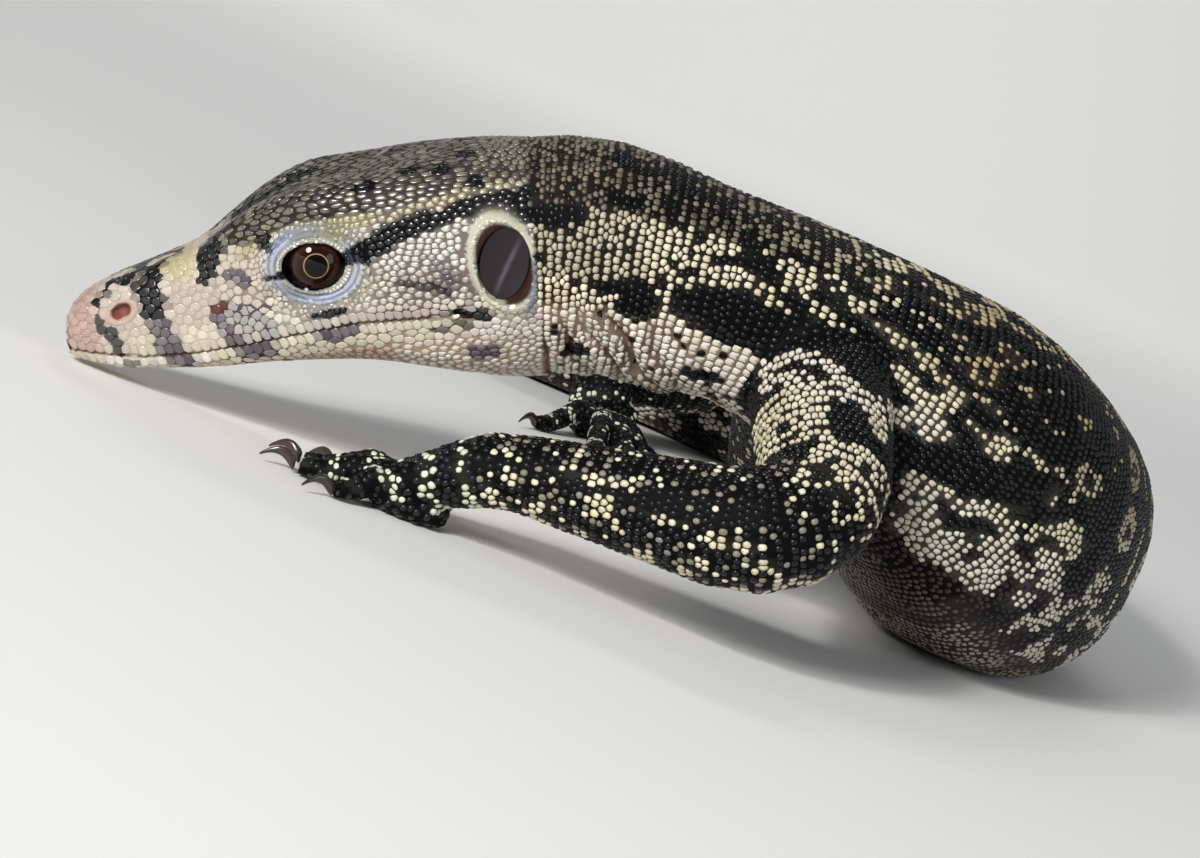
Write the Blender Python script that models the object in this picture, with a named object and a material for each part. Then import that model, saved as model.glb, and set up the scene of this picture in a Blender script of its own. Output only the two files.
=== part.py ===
"""A young water monitor lizard, life size, resting on the floor with its head lowered.

The head, neck and left foreleg lie along -X, the trunk turns away towards +Y and back, and the tail
trails off behind. Metres, +Z up; the floor under the feet, belly and tail is z = 0.
"""

import math

import bmesh
import bpy
from mathutils import Matrix, Vector

MM = 0.001
GAP = 0.3 * MM

# The trunk line from the back of the skull to the tip of the tail, in millimetres: the place of the
# section's middle, its half width, its rise to the back, its drop to the belly and its roll to the left
# in degrees. The first row lies inside the skull and only sets the direction in which the neck starts.
TRUNK_LINE = [
    (-21.8, 1.4, 25.0, 12.9, 13.2, 12.6, 11),
    (-13.8, 2.0, 29.3, 12.9, 13.2, 12.8, 11),
    (-3.5, 2.6, 32.2, 12.4, 12.5, 13.4, 9),
    (8.9, 3.7, 33.8, 11.8, 11.1, 11.6, 7),
    (21.6, 7.6, 32.1, 13.2, 12.7, 13.4, 5),
    (36.4, 15.3, 26.9, 15.8, 16.8, 18.0, 3),
    (48.0, 30.0, 20.4, 16.4, 18.4, 20.9, 1),
    (53.6, 50.5, 17.6, 17.4, 17.4, 18.8, 0),
    (53.0, 75.0, 17.1, 17.8, 17.0, 17.9, 0),
    (47.5, 98.5, 16.3, 17.2, 16.1, 17.1, 0),
    (34.5, 117.0, 15.1, 15.6, 14.6, 15.8, 0),
    (15.0, 128.0, 13.6, 13.6, 13.1, 14.2, 0),
    (-5.0, 131.0, 12.2, 12.0, 12.0, 12.8, 0),
    (-22.5, 133.5, 10.5, 9.6, 10.6, 11.1, 0),
    (-37.0, 142.5, 9.2, 8.0, 9.8, 9.8, 0),
    (-46.5, 158.5, 8.3, 7.1, 9.2, 9.0, 0),
    (-49.5, 181.0, 7.7, 6.3, 8.8, 8.4, 0),
    (-46.0, 215.0, 6.9, 5.2, 8.1, 7.5, 0),
    (-39.0, 260.0, 6.0, 4.2, 7.2, 6.6, 0),
    (-31.0, 308.0, 5.0, 3.3, 6.2, 5.6, 0),
    (-21.0, 356.0, 4.0, 2.5, 5.1, 4.5, 0),
    (-6.0, 402.0, 3.0, 1.9, 3.9, 3.4, 0),
    (17.0, 443.0, 2.1, 1.4, 2.7, 2.5, 0),
    (46.0, 474.0, 1.4, 1.0, 1.8, 1.7, 0),
    (79.0, 500.0, 0.8, 0.6, 1.0, 1.0, 0),
]

# Where the trunk line is parted, in millimetres of its length from the back of the skull, and how the
# lengths between are named.
TRUNK_PARTS = [
    ("neck", 0, 33, 28),
    ("torso_front", 33, 78, 28),
    ("torso_middle", 78, 126, 28),
    ("torso_rear", 126, 196, 26),
    ("tail_1", 196, 262, 18),
    ("tail_2", 262, 345, 14),
    ("tail_3", 345, 440, 14),
    ("tail_4", 440, 530, 10),
    ("tail_5", 530, 622, 10),
]
TRUNK_RING_STEP = 6.0
TAIL_RING_STEP = 11.0
NECK_RING_STEP = 4.5
KEEL_START = 215.0
KEEL_REACH = 150.0
KEEL_DEPTH = 0.55
BELLY_SQUARENESS = 0.74

# The skull in its own frame: x forward from the back of the head, y to its left, z up, in millimetres.
HEAD_PITCH = math.radians(26.5)
HEAD_YAW = math.radians(4.0)
HEAD_ROLL = math.radians(11.0)

# Each section: x, top, then half width and height of the brow, the brow's edge, the cheek, the lip and
# the jaw's lower edge, and last the underside.
HEAD_SECTIONS = [
    (52.5, -1.9, 0.8, -2.1, 1.5, -2.7, 1.9, -3.6, 1.7, -4.8, 1.2, -5.8, -6.0),
    (50.9, 0.3, 1.5, 0.1, 2.6, -0.9, 3.2, -2.7, 3.1, -5.0, 2.3, -6.4, -6.7),
    (47.0, 2.3, 2.2, 2.0, 3.6, 0.9, 4.5, -2.0, 4.5, -5.5, 3.5, -7.2, -7.6),
    (42.0, 3.7, 2.7, 3.5, 4.3, 2.0, 5.4, -1.4, 5.6, -5.7, 4.4, -7.5, -8.0),
    (37.0, 5.3, 3.3, 5.1, 5.0, 3.2, 6.3, -0.8, 6.7, -5.3, 5.2, -7.6, -8.1),
    (33.0, 7.7, 4.3, 7.7, 5.9, 5.2, 7.2, -0.2, 7.7, -4.6, 6.0, -7.4, -8.1),
    (29.0, 9.8, 5.6, 10.2, 7.3, 7.6, 8.1, 1.0, 8.7, -3.8, 6.8, -7.1, -8.1),
    (24.0, 11.3, 6.4, 12.1, 8.8, 9.5, 9.3, 2.6, 9.9, -3.0, 7.8, -7.0, -8.2),
    (18.0, 12.4, 6.8, 12.5, 9.5, 9.5, 10.7, 2.2, 11.0, -2.4, 8.9, -7.2, -8.6),
    (11.0, 13.5, 7.0, 12.9, 10.2, 9.1, 12.1, 1.8, 12.0, -2.8, 9.5, -8.6, -10.3),
    (5.0, 13.9, 6.8, 12.7, 10.6, 8.5, 12.8, 1.0, 12.2, -4.2, 8.9, -10.1, -12.0),
    (0.0, 13.8, 6.5, 12.1, 10.6, 7.8, 12.9, 0.0, 11.7, -5.2, 7.8, -10.7, -13.2),
]
HEAD_RINGS = 30
HEAD_RING_CROWDING = 1.15
NECK_BLEND = 20.0
POINTS_PER_SPAN = 3

# The line of the mouth in the side view, from in front of the snout to the corner, and the point under
# the throat where the jaw ends.
MOUTH_LINE = [
    (56.0, -5.3), (51.5, -5.1), (44.0, -5.8), (38.0, -5.5),
    (33.0, -4.7), (27.0, -3.6), (20.0, -2.4), (9.0, -1.9),
]
JAW_END = (5.0, -16.0)
JAW_FRONT = (56.0, -16.0)

EYE_PLACE = (23.5, 6.8, 4.2)
EYE_RADIUS = 3.7
LID_PLACE = (23.5, 7.7, 4.2)
LID_RADII = (5.6, 2.9, 4.5)
EYE_OPENING = (3.3, 2.5)
EYE_OPENING_REACH = 12.0
EAR_PLACE = (3.0, 12.4, 3.2)
EAR_RADII = (2.7, 4.1)
EAR_LEAN = math.radians(14)
EAR_DEPTH = 1.6
EAR_CUP_REACH = 8.0
DRUM_SIDES = 24
EARDRUM_THICKNESS = 0.7
NOSTRIL_PLACE = (45.6, 4.5, -0.6)
NOSTRIL_RADII = (1.1, 1.6, 0.75)
NOSTRIL_LEAN = math.radians(25)

# Each leg: its joints from inside the trunk to the front of the palm or sole, in millimetres of the
# trunk line's frame, the bend's radius at the joints between, the half width and half height of the leg
# at each joint, and the stretch of the trunk line that it grows from.
LEGS = {
    "foreleg_left": {
        "joints": [(20, 0, 30), (26.5, -25.5, 15), (-8, -17.0, 9.3), (-18.5, -13.0, 2.3)],
        "bends": (8.0, 9.0),
        "girths": [(8.6, 8.2), (6.9, 7.0), (4.4, 4.2), (5.2, 2.4)],
        "heading": 167,
        "foot": "forefoot_left",
        "toes": "fore",
        "side": 1,
        "trunk": (12, 110),
    },
    "foreleg_right": {
        "joints": [(20, 10, 28), (22, 36, 15), (26.5, 52.5, 8.2), (24, 61, 2.3)],
        "bends": (8.0, 9.0),
        "girths": [(8.6, 8.2), (6.9, 7.0), (4.4, 4.2), (5.2, 2.4)],
        "heading": 100,
        "foot": "forefoot_right",
        "toes": "fore",
        "side": -1,
        "trunk": (12, 110),
    },
    "hindleg_left": {
        "joints": [(-4, 134, 12.5), (16, 159, 14), (-9, 171, 8), (1, 182, 2.3)],
        "bends": (8.6, 7.0),
        "girths": [(9.6, 8.8), (6.6, 6.8), (4.4, 4.4), (5.2, 2.5)],
        "heading": 42,
        "foot": "hindfoot_left",
        "toes": "hind",
        "side": 1,
        "trunk": (140, 235),
    },
    "hindleg_right": {
        "joints": [(-4, 128, 12.5), (18, 101.5, 15.5), (-7, 97.5, 8.4), (1, 90.5, 2.3)],
        "bends": (8.6, 7.0),
        "girths": [(9.6, 8.8), (6.6, 6.8), (4.4, 4.4), (5.2, 2.5)],
        "heading": -70,
        "foot": "hindfoot_right",
        "toes": "hind",
        "side": -1,
        "trunk": (140, 235),
    },
}
LEG_SIDES = 14
LEG_RING_STEP = 3.6
FLANK_SIDES = 28
WRIST_SET = 1.0
PALM_RING_STEP = 2.6

# Toes one to five: spread from the foot's heading in degrees towards the outer side, and length from
# the middle of the palm or sole to the toe's end.
TOES = {
    "fore": [(-50, 9.0), (-23, 11.0), (-3, 12.6), (18, 12.0), (54, 9.2)],
    "hind": [(-46, 10.5), (-22, 14.5), (-3, 18.5), (17, 22.5), (52, 15.0)],
}

# The height of a toe's middle line and its half width, by the share of the toe's length.
TOE_PROFILE = [(0.0, 2.2, 1.9), (0.33, 4.1, 1.8), (0.64, 2.1, 1.6), (0.84, 1.1, 1.4), (1.0, 0.95, 1.25)]
TOE_SIDES = 8
TOE_RING_STEP = 3.0
TOE_ROOT_BACK = 2.5

# The pad under the palm or sole: place before or behind the roots of the toes, and height of its middle
# line, half width and half height there.
PAD_PROFILE = [(-4.5, 2.3, 3.0, 2.2), (-2.0, 1.7, 4.2, 2.0), (1.0, 1.55, 4.9, 1.9), (3.0, 1.6, 4.0, 1.7)]
PAD_RING_STEP = 2.5
CLAW_LENGTH = 4.0
CLAW_RADIUS = 0.95
CLAW_SIDES = 6
CLAW_SECTIONS = (0.0, 0.3, 0.55, 0.78, 1.0)
CLAW_HOOK = 1.15
CLAW_TAPER = 0.78
CLAW_FLATNESS = 0.62
CLAW_TIP_HEIGHT = 0.75

FINISHES = {
    "skin": ((0.09, 0.085, 0.07), 0.45),
    "face": ((0.42, 0.36, 0.26), 0.4),
    "eye": ((0.05, 0.02, 0.015), 0.08),
    "eardrum": ((0.09, 0.05, 0.055), 0.3),
    "claw": ((0.05, 0.04, 0.035), 0.3),
}


def clear_scene():
    for old in list(bpy.data.objects):
        bpy.data.objects.remove(old)


def collection(name):
    made = bpy.data.collections.new(name)
    bpy.context.scene.collection.children.link(made)
    return made


def finish_of(name):
    """The Principled material of one finish."""
    found = bpy.data.materials.get(name)
    if found:
        return found
    colour, roughness = FINISHES[name]
    made = bpy.data.materials.new(name)
    made.use_nodes = True
    shader = made.node_tree.nodes["Principled BSDF"]
    shader.inputs["Base Color"].default_value = (*colour, 1)
    shader.inputs["Roughness"].default_value = roughness
    shader.inputs["Metallic"].default_value = 0
    return made


def object_from(mesh, name, finish, where):
    """A mesh built in bmesh becomes an object with its faces pointing out."""
    bmesh.ops.remove_doubles(mesh, verts=mesh.verts, dist=1e-6)
    bmesh.ops.recalc_face_normals(mesh, faces=mesh.faces)
    data = bpy.data.meshes.new(name)
    mesh.to_mesh(data)
    mesh.free()
    data.materials.append(finish_of(finish))
    made = bpy.data.objects.new(name, data)
    where.objects.link(made)
    return made


def smooth_rows(rows, steps):
    """Rows of numbers joined by a Catmull-Rom curve, with this many steps between each two."""
    ends = [[2 * a - b for a, b in zip(rows[0], rows[1])], [2 * a - b for a, b in zip(rows[-1], rows[-2])]]
    padded = [ends[0], *rows, ends[1]]
    made = []
    for before, start, end, after in zip(padded, padded[1:], padded[2:], padded[3:]):
        for step in range(steps):
            t = step / steps
            made.append([
                0.5 * (2 * b + (c - a) * t + (2 * a - 5 * b + 4 * c - d) * t**2 + (3 * b - a - 3 * c + d) * t**3)
                for a, b, c, d in zip(before, start, end, after)
            ])
    made.append(list(rows[-1]))
    return made


def steps_between(first, last, step):
    count = max(2, round((last - first) / step) + 1)
    return [first + (last - first) * i / (count - 1) for i in range(count)]


class Line:
    """A dense line of rows, each a place and some sizes, read by the length along it."""

    def __init__(self, rows):
        self.rows = rows
        self.lengths = [0.0]
        for a, b in zip(rows, rows[1:]):
            self.lengths.append(self.lengths[-1] + (Vector(b[:3]) - Vector(a[:3])).length)
        self.start = 0.0

    def row(self, length):
        target = min(max(length + self.start, 0.0), self.lengths[-1])
        index = next((i for i, at in enumerate(self.lengths) if at >= target), len(self.rows) - 1)
        index = max(index, 1)
        before, after = self.lengths[index - 1], self.lengths[index]
        share = (target - before) / (after - before)
        return [a + (b - a) * share for a, b in zip(self.rows[index - 1], self.rows[index])]

    def end(self):
        return self.lengths[-1] - self.start

    def heading(self, length):
        reach = 1.0
        return (Vector(self.row(length + reach)[:3]) - Vector(self.row(length - reach)[:3])).normalized()


def trunk_line():
    steps = 12
    line = Line(smooth_rows(TRUNK_LINE, steps))
    line.start = line.lengths[steps]
    return line


def on_floor(point):
    return Vector((point.x, point.y, max(point.z, 0.0)))


def trunk_ring(line, length, sides, keel, swell=0.0):
    """One section of the trunk line, swollen if asked. The tail's top narrows to a keel towards its tip."""
    x, y, z, *sizes, roll = line.row(length)
    width, rise, drop = [size + swell for size in sizes]
    heading = line.heading(length)
    right = heading.cross(Vector((0, 0, 1))).normalized()
    up = right.cross(heading)
    turn = Matrix.Rotation(math.radians(roll), 3, heading)
    right, up = turn @ right, turn @ up
    ring = []
    for k in range(sides):
        angle = 2 * math.pi * k / sides
        across, high = math.cos(angle), math.sin(angle)
        squareness = BELLY_SQUARENESS if high < 0 else 1.0
        narrow = 1 - keel * max(high, 0.0) ** 2
        across = math.copysign(abs(across) ** squareness, across) * narrow
        high = math.copysign(abs(high) ** squareness, high)
        offset = right * (width * across) + up * ((rise if high > 0 else drop) * high)
        ring.append(on_floor(Vector((x, y, z)) + offset) * MM)
    return ring


def loft(rings):
    """A closed skin over rings of equal count, with flat ends."""
    mesh = bmesh.new()
    rows = [[mesh.verts.new(p) for p in ring] for ring in rings]
    for a, b in zip(rows, rows[1:]):
        for k in range(len(a)):
            following = (k + 1) % len(a)
            mesh.faces.new((a[k], a[following], b[following], b[k]))
    for row in (rows[0], rows[-1]):
        bmesh.ops.triangle_fill(mesh, use_beauty=True, edges=ring_edges(row))
    return mesh


def ring_edges(row):
    found = set(row)
    return list({e for v in row for e in v.link_edges if e.other_vert(v) in found})


def keel_at(length):
    return min(max((length - KEEL_START) / KEEL_REACH, 0.0), 1.0) * KEEL_DEPTH


def trunk_piece(line, name, begin, end, sides, where):
    step = TAIL_RING_STEP if name.startswith("tail") else TRUNK_RING_STEP
    half_gap = GAP / MM / 2
    lengths = steps_between(begin + half_gap, min(end, line.end()) - half_gap, step)
    rings = [trunk_ring(line, s, sides, keel_at(s)) for s in lengths]
    return object_from(loft(rings), name, "skin", where)


def filleted(points, bends, step=0.8):
    """Points along straight runs whose inner corners are rounded with these radii."""
    points = [Vector(p) for p in points]
    made = [points[0]]
    joints = [0.0]
    for before, corner, after, radius in zip(points, points[1:], points[2:], bends):
        back, forth = (before - corner).normalized(), (after - corner).normalized()
        half = back.angle(forth) / 2
        reach = radius / math.tan(half)
        centre = corner + (back + forth).normalized() * (radius / math.sin(half))
        start, stop = corner + back * reach - centre, corner + forth * reach - centre
        turn = start.angle(stop)
        steps = max(3, round(turn * radius / step))
        shares = [i / steps for i in range(steps + 1)]
        arc = [
            centre + (start * math.sin((1 - t) * turn) + stop * math.sin(t * turn)) / math.sin(turn)
            for t in shares
        ]
        made += arc
        joints.append(len(made) - 1 - steps // 2)
    made.append(points[-1])
    joints.append(len(made) - 1)
    return made, joints


def leg_line(leg):
    """The leg's middle line with its half width and half height in each row."""
    points, joints = filleted(leg["joints"], leg["bends"])
    girths = []
    plain = Line([[*p] for p in points])
    at = [plain.lengths[int(j)] for j in joints]
    for length in plain.lengths:
        index = next((i for i in range(1, len(at)) if at[i] >= length), len(at) - 1)
        share = (length - at[index - 1]) / (at[index] - at[index - 1])
        share = share * share * (3 - 2 * share)
        first, second = leg["girths"][index - 1], leg["girths"][index]
        girths.append([a + (b - a) * share for a, b in zip(first, second)])
    line = Line([[*p, *g] for p, g in zip(points, girths)])
    line.joints = at
    return line


def leg_rings(line, lengths, sides):
    """Sections across a leg, an edge underneath, each turned as little as can be from the one before."""
    first = 0.5 if sides % 4 == 0 else 0.0
    up = None
    rings = []
    for length in lengths:
        x, y, z, width, height = line.row(length)
        heading = line.heading(length)
        if up is None:
            up = Vector((0, 0, 1))
        up = (up - heading * up.dot(heading)).normalized()
        right = heading.cross(up)
        ring = []
        for k in range(sides):
            angle = 2 * math.pi * (k + first) / sides
            offset = right * (width * math.cos(angle)) + up * (height * math.sin(angle))
            ring.append(on_floor(Vector((x, y, z)) + offset) * MM)
        rings.append(ring)
    return rings


def joined(pieces, name, finish, where):
    """Closed pieces fused by one Boolean union into one closed body."""
    base = pieces[0]
    base.name = name
    others = bpy.data.collections.new("pieces of " + name)
    bpy.context.scene.collection.children.link(others)
    for piece in pieces[1:]:
        for held in list(piece.users_collection):
            held.objects.unlink(piece)
        others.objects.link(piece)
    union = base.modifiers.new("union", "BOOLEAN")
    union.operation = "UNION"
    union.operand_type = "COLLECTION"
    union.collection = others
    union.solver = "MANIFOLD"
    apply_modifiers(base)
    for piece in list(others.objects):
        bpy.data.objects.remove(piece)
    bpy.data.collections.remove(others)
    keep_largest(base)
    base.data.materials.clear()
    base.data.materials.append(finish_of(finish))
    return base


def apply_modifiers(obj):
    bpy.context.view_layer.update()
    graph = bpy.context.evaluated_depsgraph_get()
    data = bpy.data.meshes.new_from_object(obj.evaluated_get(graph))
    obj.modifiers.clear()
    obj.data = data


def keep_largest(obj):
    """Only the largest closed surface stays."""
    mesh = bmesh.new()
    mesh.from_mesh(obj.data)
    left = set(mesh.verts)
    groups = []
    while left:
        group, edge = set(), [left.pop()]
        while edge:
            vert = edge.pop()
            group.add(vert)
            near = [e.other_vert(vert) for e in vert.link_edges]
            edge += [v for v in near if v in left]
            left.difference_update(near)
        groups.append(group)
    groups.sort(key=len)
    for group in groups[:-1]:
        bmesh.ops.delete(mesh, geom=list(group), context="VERTS")
    mesh.to_mesh(obj.data)
    mesh.free()


def cut(obj, cutter, operation="DIFFERENCE", solver="MANIFOLD"):
    """The cutter, a closed object, is taken out of obj or kept in common with it."""
    change = obj.modifiers.new("cut", "BOOLEAN")
    change.operation = operation
    change.object = cutter
    change.solver = solver
    apply_modifiers(obj)


def head_frame():
    """From the skull's own frame in millimetres to the trunk line's frame in metres."""
    place = Vector(TRUNK_LINE[1][:3]) * MM
    turn = (
        Matrix.Rotation(math.pi + HEAD_YAW, 4, "Z")
        @ Matrix.Rotation(HEAD_PITCH, 4, "Y")
        @ Matrix.Rotation(-HEAD_ROLL, 4, "X")
    )
    return Matrix.Translation(place) @ turn @ Matrix.Scale(MM, 4)


def section_outline(row):
    """The closed outline of one head section, as (y, z) points from the top round by the left."""
    x, top, brow_w, brow_z, edge_w, edge_z, cheek_w, cheek_z, lip_w, lip_z, jaw_w, jaw_z, under = row
    side = [(brow_w, brow_z), (edge_w, edge_z), (cheek_w, cheek_z), (lip_w, lip_z), (jaw_w, jaw_z)]
    closed = [(0, top), *side, (0, under), *[(-w, z) for w, z in reversed(side)]]
    looped = [closed[-1], *closed, closed[0], closed[1]]
    dense = smooth_rows([list(p) for p in looped], POINTS_PER_SPAN)
    return [(x, y, z) for y, z in dense[POINTS_PER_SPAN:POINTS_PER_SPAN * (len(closed) + 1)]]


def whole_head(where):
    """Snout, braincase and jaw in one closed loft, in the skull's frame."""
    rows = smooth_rows([list(r) for r in HEAD_SECTIONS], 8)
    line = Line([[r[0], 0, 0, *r] for r in rows])
    rings = []
    for i in range(HEAD_RINGS):
        share = i / (HEAD_RINGS - 1)
        length = line.end() * share ** HEAD_RING_CROWDING
        rings.append([Vector(p) for p in section_outline(line.row(length)[3:])])
    return object_from(loft(rings), "head", "face", where)


def ellipsoid(name, place, radii, turn, where, segments=20):
    mesh = bmesh.new()
    bmesh.ops.create_uvsphere(mesh, u_segments=segments, v_segments=segments // 2, radius=1)
    shape = Matrix.Translation(Vector(place)) @ turn @ Matrix.Diagonal((*radii, 1))
    bmesh.ops.transform(mesh, matrix=shape, verts=mesh.verts)
    return object_from(mesh, name, "skin", where)


def build_neck(line, begin, end, where):
    """The neck takes up the outline of the skull's back and turns into the trunk's own section."""
    frame = head_frame()
    back = section_outline(HEAD_SECTIONS[-1])
    sides = len(back)
    half_gap = GAP / MM / 2
    rings = []
    for length in steps_between(begin + GAP / MM, end - half_gap, NECK_RING_STEP):
        trunk = trunk_ring(line, length, sides, 0.0)
        quarter = sides // 4
        trunk = [trunk[(quarter - k) % sides] for k in range(sides)]
        skull = [frame @ Vector((x - length, y, z)) for x, y, z in back]
        share = min(length / NECK_BLEND, 1.0)
        share = share * share * (3 - 2 * share)
        rings.append([a.lerp(b, share) for a, b in zip(skull, trunk)])
    return object_from(loft(rings), "neck", "skin", where)


def oval_drum(name, place, radii, depth, lean, where):
    """A short oval cylinder whose axis is the head's left-right line, from its place outwards."""
    mesh = bmesh.new()
    bmesh.ops.create_cone(
        mesh, cap_ends=True, segments=DRUM_SIDES, radius1=1, radius2=1, depth=1,
        matrix=Matrix.Translation((0, 0, 0.5)),
    )
    shape = (
        Matrix.Translation(Vector(place))
        @ Matrix.Rotation(lean, 4, "Y")
        @ Matrix.Rotation(-math.pi / 2, 4, "X")
        @ Matrix.Diagonal((radii[0], radii[1], depth, 1))
    )
    bmesh.ops.transform(mesh, matrix=shape, verts=mesh.verts)
    return object_from(mesh, name, "skin", where)


def mirrored(place, side):
    return (place[0], place[1] * side, place[2])


def side_prism(name, outline, where):
    """A side-view outline carried right through the head from left to right."""
    reach = 30.0
    mesh = bmesh.new()
    face = mesh.faces.new([mesh.verts.new((x, -reach, z)) for x, z in outline])
    grown = bmesh.ops.extrude_face_region(mesh, geom=[face])
    moved = [v for v in grown["geom"] if isinstance(v, bmesh.types.BMVert)]
    bmesh.ops.translate(mesh, vec=(0, 2 * reach, 0), verts=moved)
    return object_from(mesh, name, "skin", where)


def build_head(where, cutters):
    """Skull with lids, eye sockets, ear cups, nostrils and mouth line; lower jaw; eyes and eardrums."""
    head = whole_head(where)
    lids = [
        ellipsoid(f"lid {side}", mirrored(LID_PLACE, side), LID_RADII, Matrix.Identity(4), where)
        for side in (1, -1)
    ]
    head = joined([head, *lids], "head", "face", where)
    no_turn = Matrix.Identity(4)
    clearance = GAP / MM
    hollows = []
    for side in (1, -1):
        socket = EYE_RADIUS + clearance
        eye = mirrored(EYE_PLACE, side)
        hollows.append(ellipsoid("socket", eye, (socket,) * 3, no_turn, cutters, 24))
        hollows.append(oval_drum("opening", eye, EYE_OPENING, side * EYE_OPENING_REACH, 0, cutters))
        ear = mirrored(EAR_PLACE, side)
        ear = (ear[0], ear[1] - side * EAR_DEPTH, ear[2])
        hollows.append(oval_drum("ear cup", ear, EAR_RADII, side * EAR_CUP_REACH, -EAR_LEAN, cutters))
        lean = Matrix.Rotation(NOSTRIL_LEAN, 4, "Y")
        hollows.append(
            ellipsoid("nostril", mirrored(NOSTRIL_PLACE, side), NOSTRIL_RADII, lean, cutters, 12)
        )
    for hollow in hollows:
        cut(head, hollow)
    jaw_cutter = side_prism("jaw region", [*MOUTH_LINE, JAW_END, JAW_FRONT], cutters)
    raised = [(x, z + clearance) for x, z in MOUTH_LINE]
    raised[-1] = (raised[-1][0] - clearance, raised[-1][1])
    behind = (JAW_END[0] - clearance, JAW_END[1])
    head_cutter = side_prism("jaw region and gap", [*raised, behind, JAW_FRONT], cutters)
    jaw = bpy.data.objects.new("lower_jaw", head.data.copy())
    where.objects.link(jaw)
    cut(jaw, jaw_cutter, "INTERSECT")
    cut(head, head_cutter)
    keep_largest(jaw)
    keep_largest(head)
    made = [head, jaw]
    for side, word in ((1, "left"), (-1, "right")):
        eye = ellipsoid(f"eye_{word}", mirrored(EYE_PLACE, side), (EYE_RADIUS,) * 3, no_turn, where, 20)
        drum = mirrored(EAR_PLACE, side)
        drum = (drum[0], drum[1] - side * (EAR_DEPTH - clearance), drum[2])
        inner = (EAR_RADII[0] - clearance, EAR_RADII[1] - clearance)
        eardrum = oval_drum(f"ear_{word}", drum, inner, side * EARDRUM_THICKNESS, -EAR_LEAN, where)
        for piece, finish in ((eye, "eye"), (eardrum, "eardrum")):
            piece.data.materials.clear()
            piece.data.materials.append(finish_of(finish))
            made.append(piece)
    for piece in made:
        piece.data.transform(head_frame())
        piece.data.update()
    for hollow in list(cutters.objects):
        bpy.data.objects.remove(hollow)


def toe_line(root, direction, length):
    """A toe's middle line from inside the foot, over its raised knuckle, down to its end."""
    rows = []
    for share, height, radius in TOE_PROFILE:
        place = root + direction * (length * share)
        rows.append([place.x, place.y, height, radius, radius])
    return Line(smooth_rows(rows, 6))


def claw_rings(line):
    """A hooked claw in front of the toe's end, thinner from side to side than from top to bottom."""
    end = Vector(line.row(line.end())[:3])
    heading = line.heading(line.end() - 1.0)
    flat = Vector((heading.x, heading.y, 0)).normalized()
    begin = end + heading * (GAP / MM)
    rings = []
    for share in CLAW_SECTIONS:
        hook = CLAW_HOOK * math.sin(math.pi * share) - share * (begin.z - CLAW_TIP_HEIGHT)
        place = begin + flat * (CLAW_LENGTH * share) + Vector((0, 0, hook))
        radius = CLAW_RADIUS * (1 - CLAW_TAPER * share)
        side = Vector((0, 0, 1)).cross(flat)
        up = heading.cross(side) if share == 0 else Vector((0, 0, 1))
        ring = []
        for k in range(CLAW_SIDES):
            angle = 2 * math.pi * k / CLAW_SIDES
            offset = side * (radius * CLAW_FLATNESS * math.cos(angle)) + up * (radius * math.sin(angle))
            ring.append((place + offset) * MM)
        rings.append(ring)
    return rings


def build_foot(leg, line, where):
    """Palm or sole with its five toes in one body, and a claw in front of each toe."""
    half_gap = GAP / MM / 2
    start = line.joints[2] + WRIST_SET + half_gap
    lengths = steps_between(start, line.end(), PALM_RING_STEP)
    pieces = [object_from(loft(leg_rings(line, lengths, LEG_SIDES)), "palm", "skin", where)]
    palm = Vector(line.row(line.end() - TOE_ROOT_BACK)[:3])
    ahead = Vector((math.cos(math.radians(leg["heading"])), math.sin(math.radians(leg["heading"])), 0))
    pad = Line([[*(palm + ahead * reach)[:2], *sizes] for reach, *sizes in PAD_PROFILE])
    rings = leg_rings(pad, steps_between(0.0, pad.end(), PAD_RING_STEP), LEG_SIDES)
    pieces.append(object_from(loft(rings), "pad", "skin", where))
    for number, (spread, length) in enumerate(TOES[leg["toes"]], start=1):
        angle = math.radians(leg["heading"] + spread * leg["side"])
        direction = Vector((math.cos(angle), math.sin(angle), 0))
        toe = toe_line(palm, direction, length)
        rings = leg_rings(toe, steps_between(0.0, toe.end(), TOE_RING_STEP), TOE_SIDES)
        pieces.append(object_from(loft(rings), "toe", "skin", where))
        name = f"claw_{leg['foot']}_{number}"
        object_from(loft(claw_rings(toe)), name, "claw", where)
    joined(pieces, leg["foot"], "skin", where)


def build_leg(name, leg, trunk, where, cutters):
    """Upper leg, parted from the trunk's side by a thin gap, lower leg and foot."""
    line = leg_line(leg)
    half_gap = GAP / MM / 2
    elbow = line.joints[1]
    wrist = line.joints[2] + WRIST_SET
    spans = {
        f"{name}_upper": (0.0, elbow - half_gap),
        f"{name}_lower": (elbow + half_gap, wrist - half_gap),
    }
    for piece, (first, last) in spans.items():
        rings = leg_rings(line, steps_between(first, last, LEG_RING_STEP), LEG_SIDES)
        object_from(loft(rings), piece, "skin", where)
    begin, end = leg["trunk"]
    lengths = steps_between(begin, end, TRUNK_RING_STEP)
    swollen = [trunk_ring(trunk, s, FLANK_SIDES, 0.0, GAP / MM) for s in lengths]
    flank = object_from(loft(swollen), "flank", "skin", cutters)
    for piece in spans:
        cut(where.objects[piece], flank)
        keep_largest(where.objects[piece])
    bpy.data.objects.remove(flank)
    build_foot(leg, line, where)


def centre_on_floor(where):
    """The whole animal is moved so that the origin is under the middle of its box."""
    corners = [v.co for obj in where.objects for v in obj.data.vertices]
    middle_x = (min(c.x for c in corners) + max(c.x for c in corners)) / 2
    middle_y = (min(c.y for c in corners) + max(c.y for c in corners)) / 2
    for obj in where.objects:
        obj.data.transform(Matrix.Translation((-middle_x, -middle_y, 0)))
        obj.data.shade_smooth()
        obj.data.set_sharp_from_angle(angle=math.radians(40))


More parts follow.
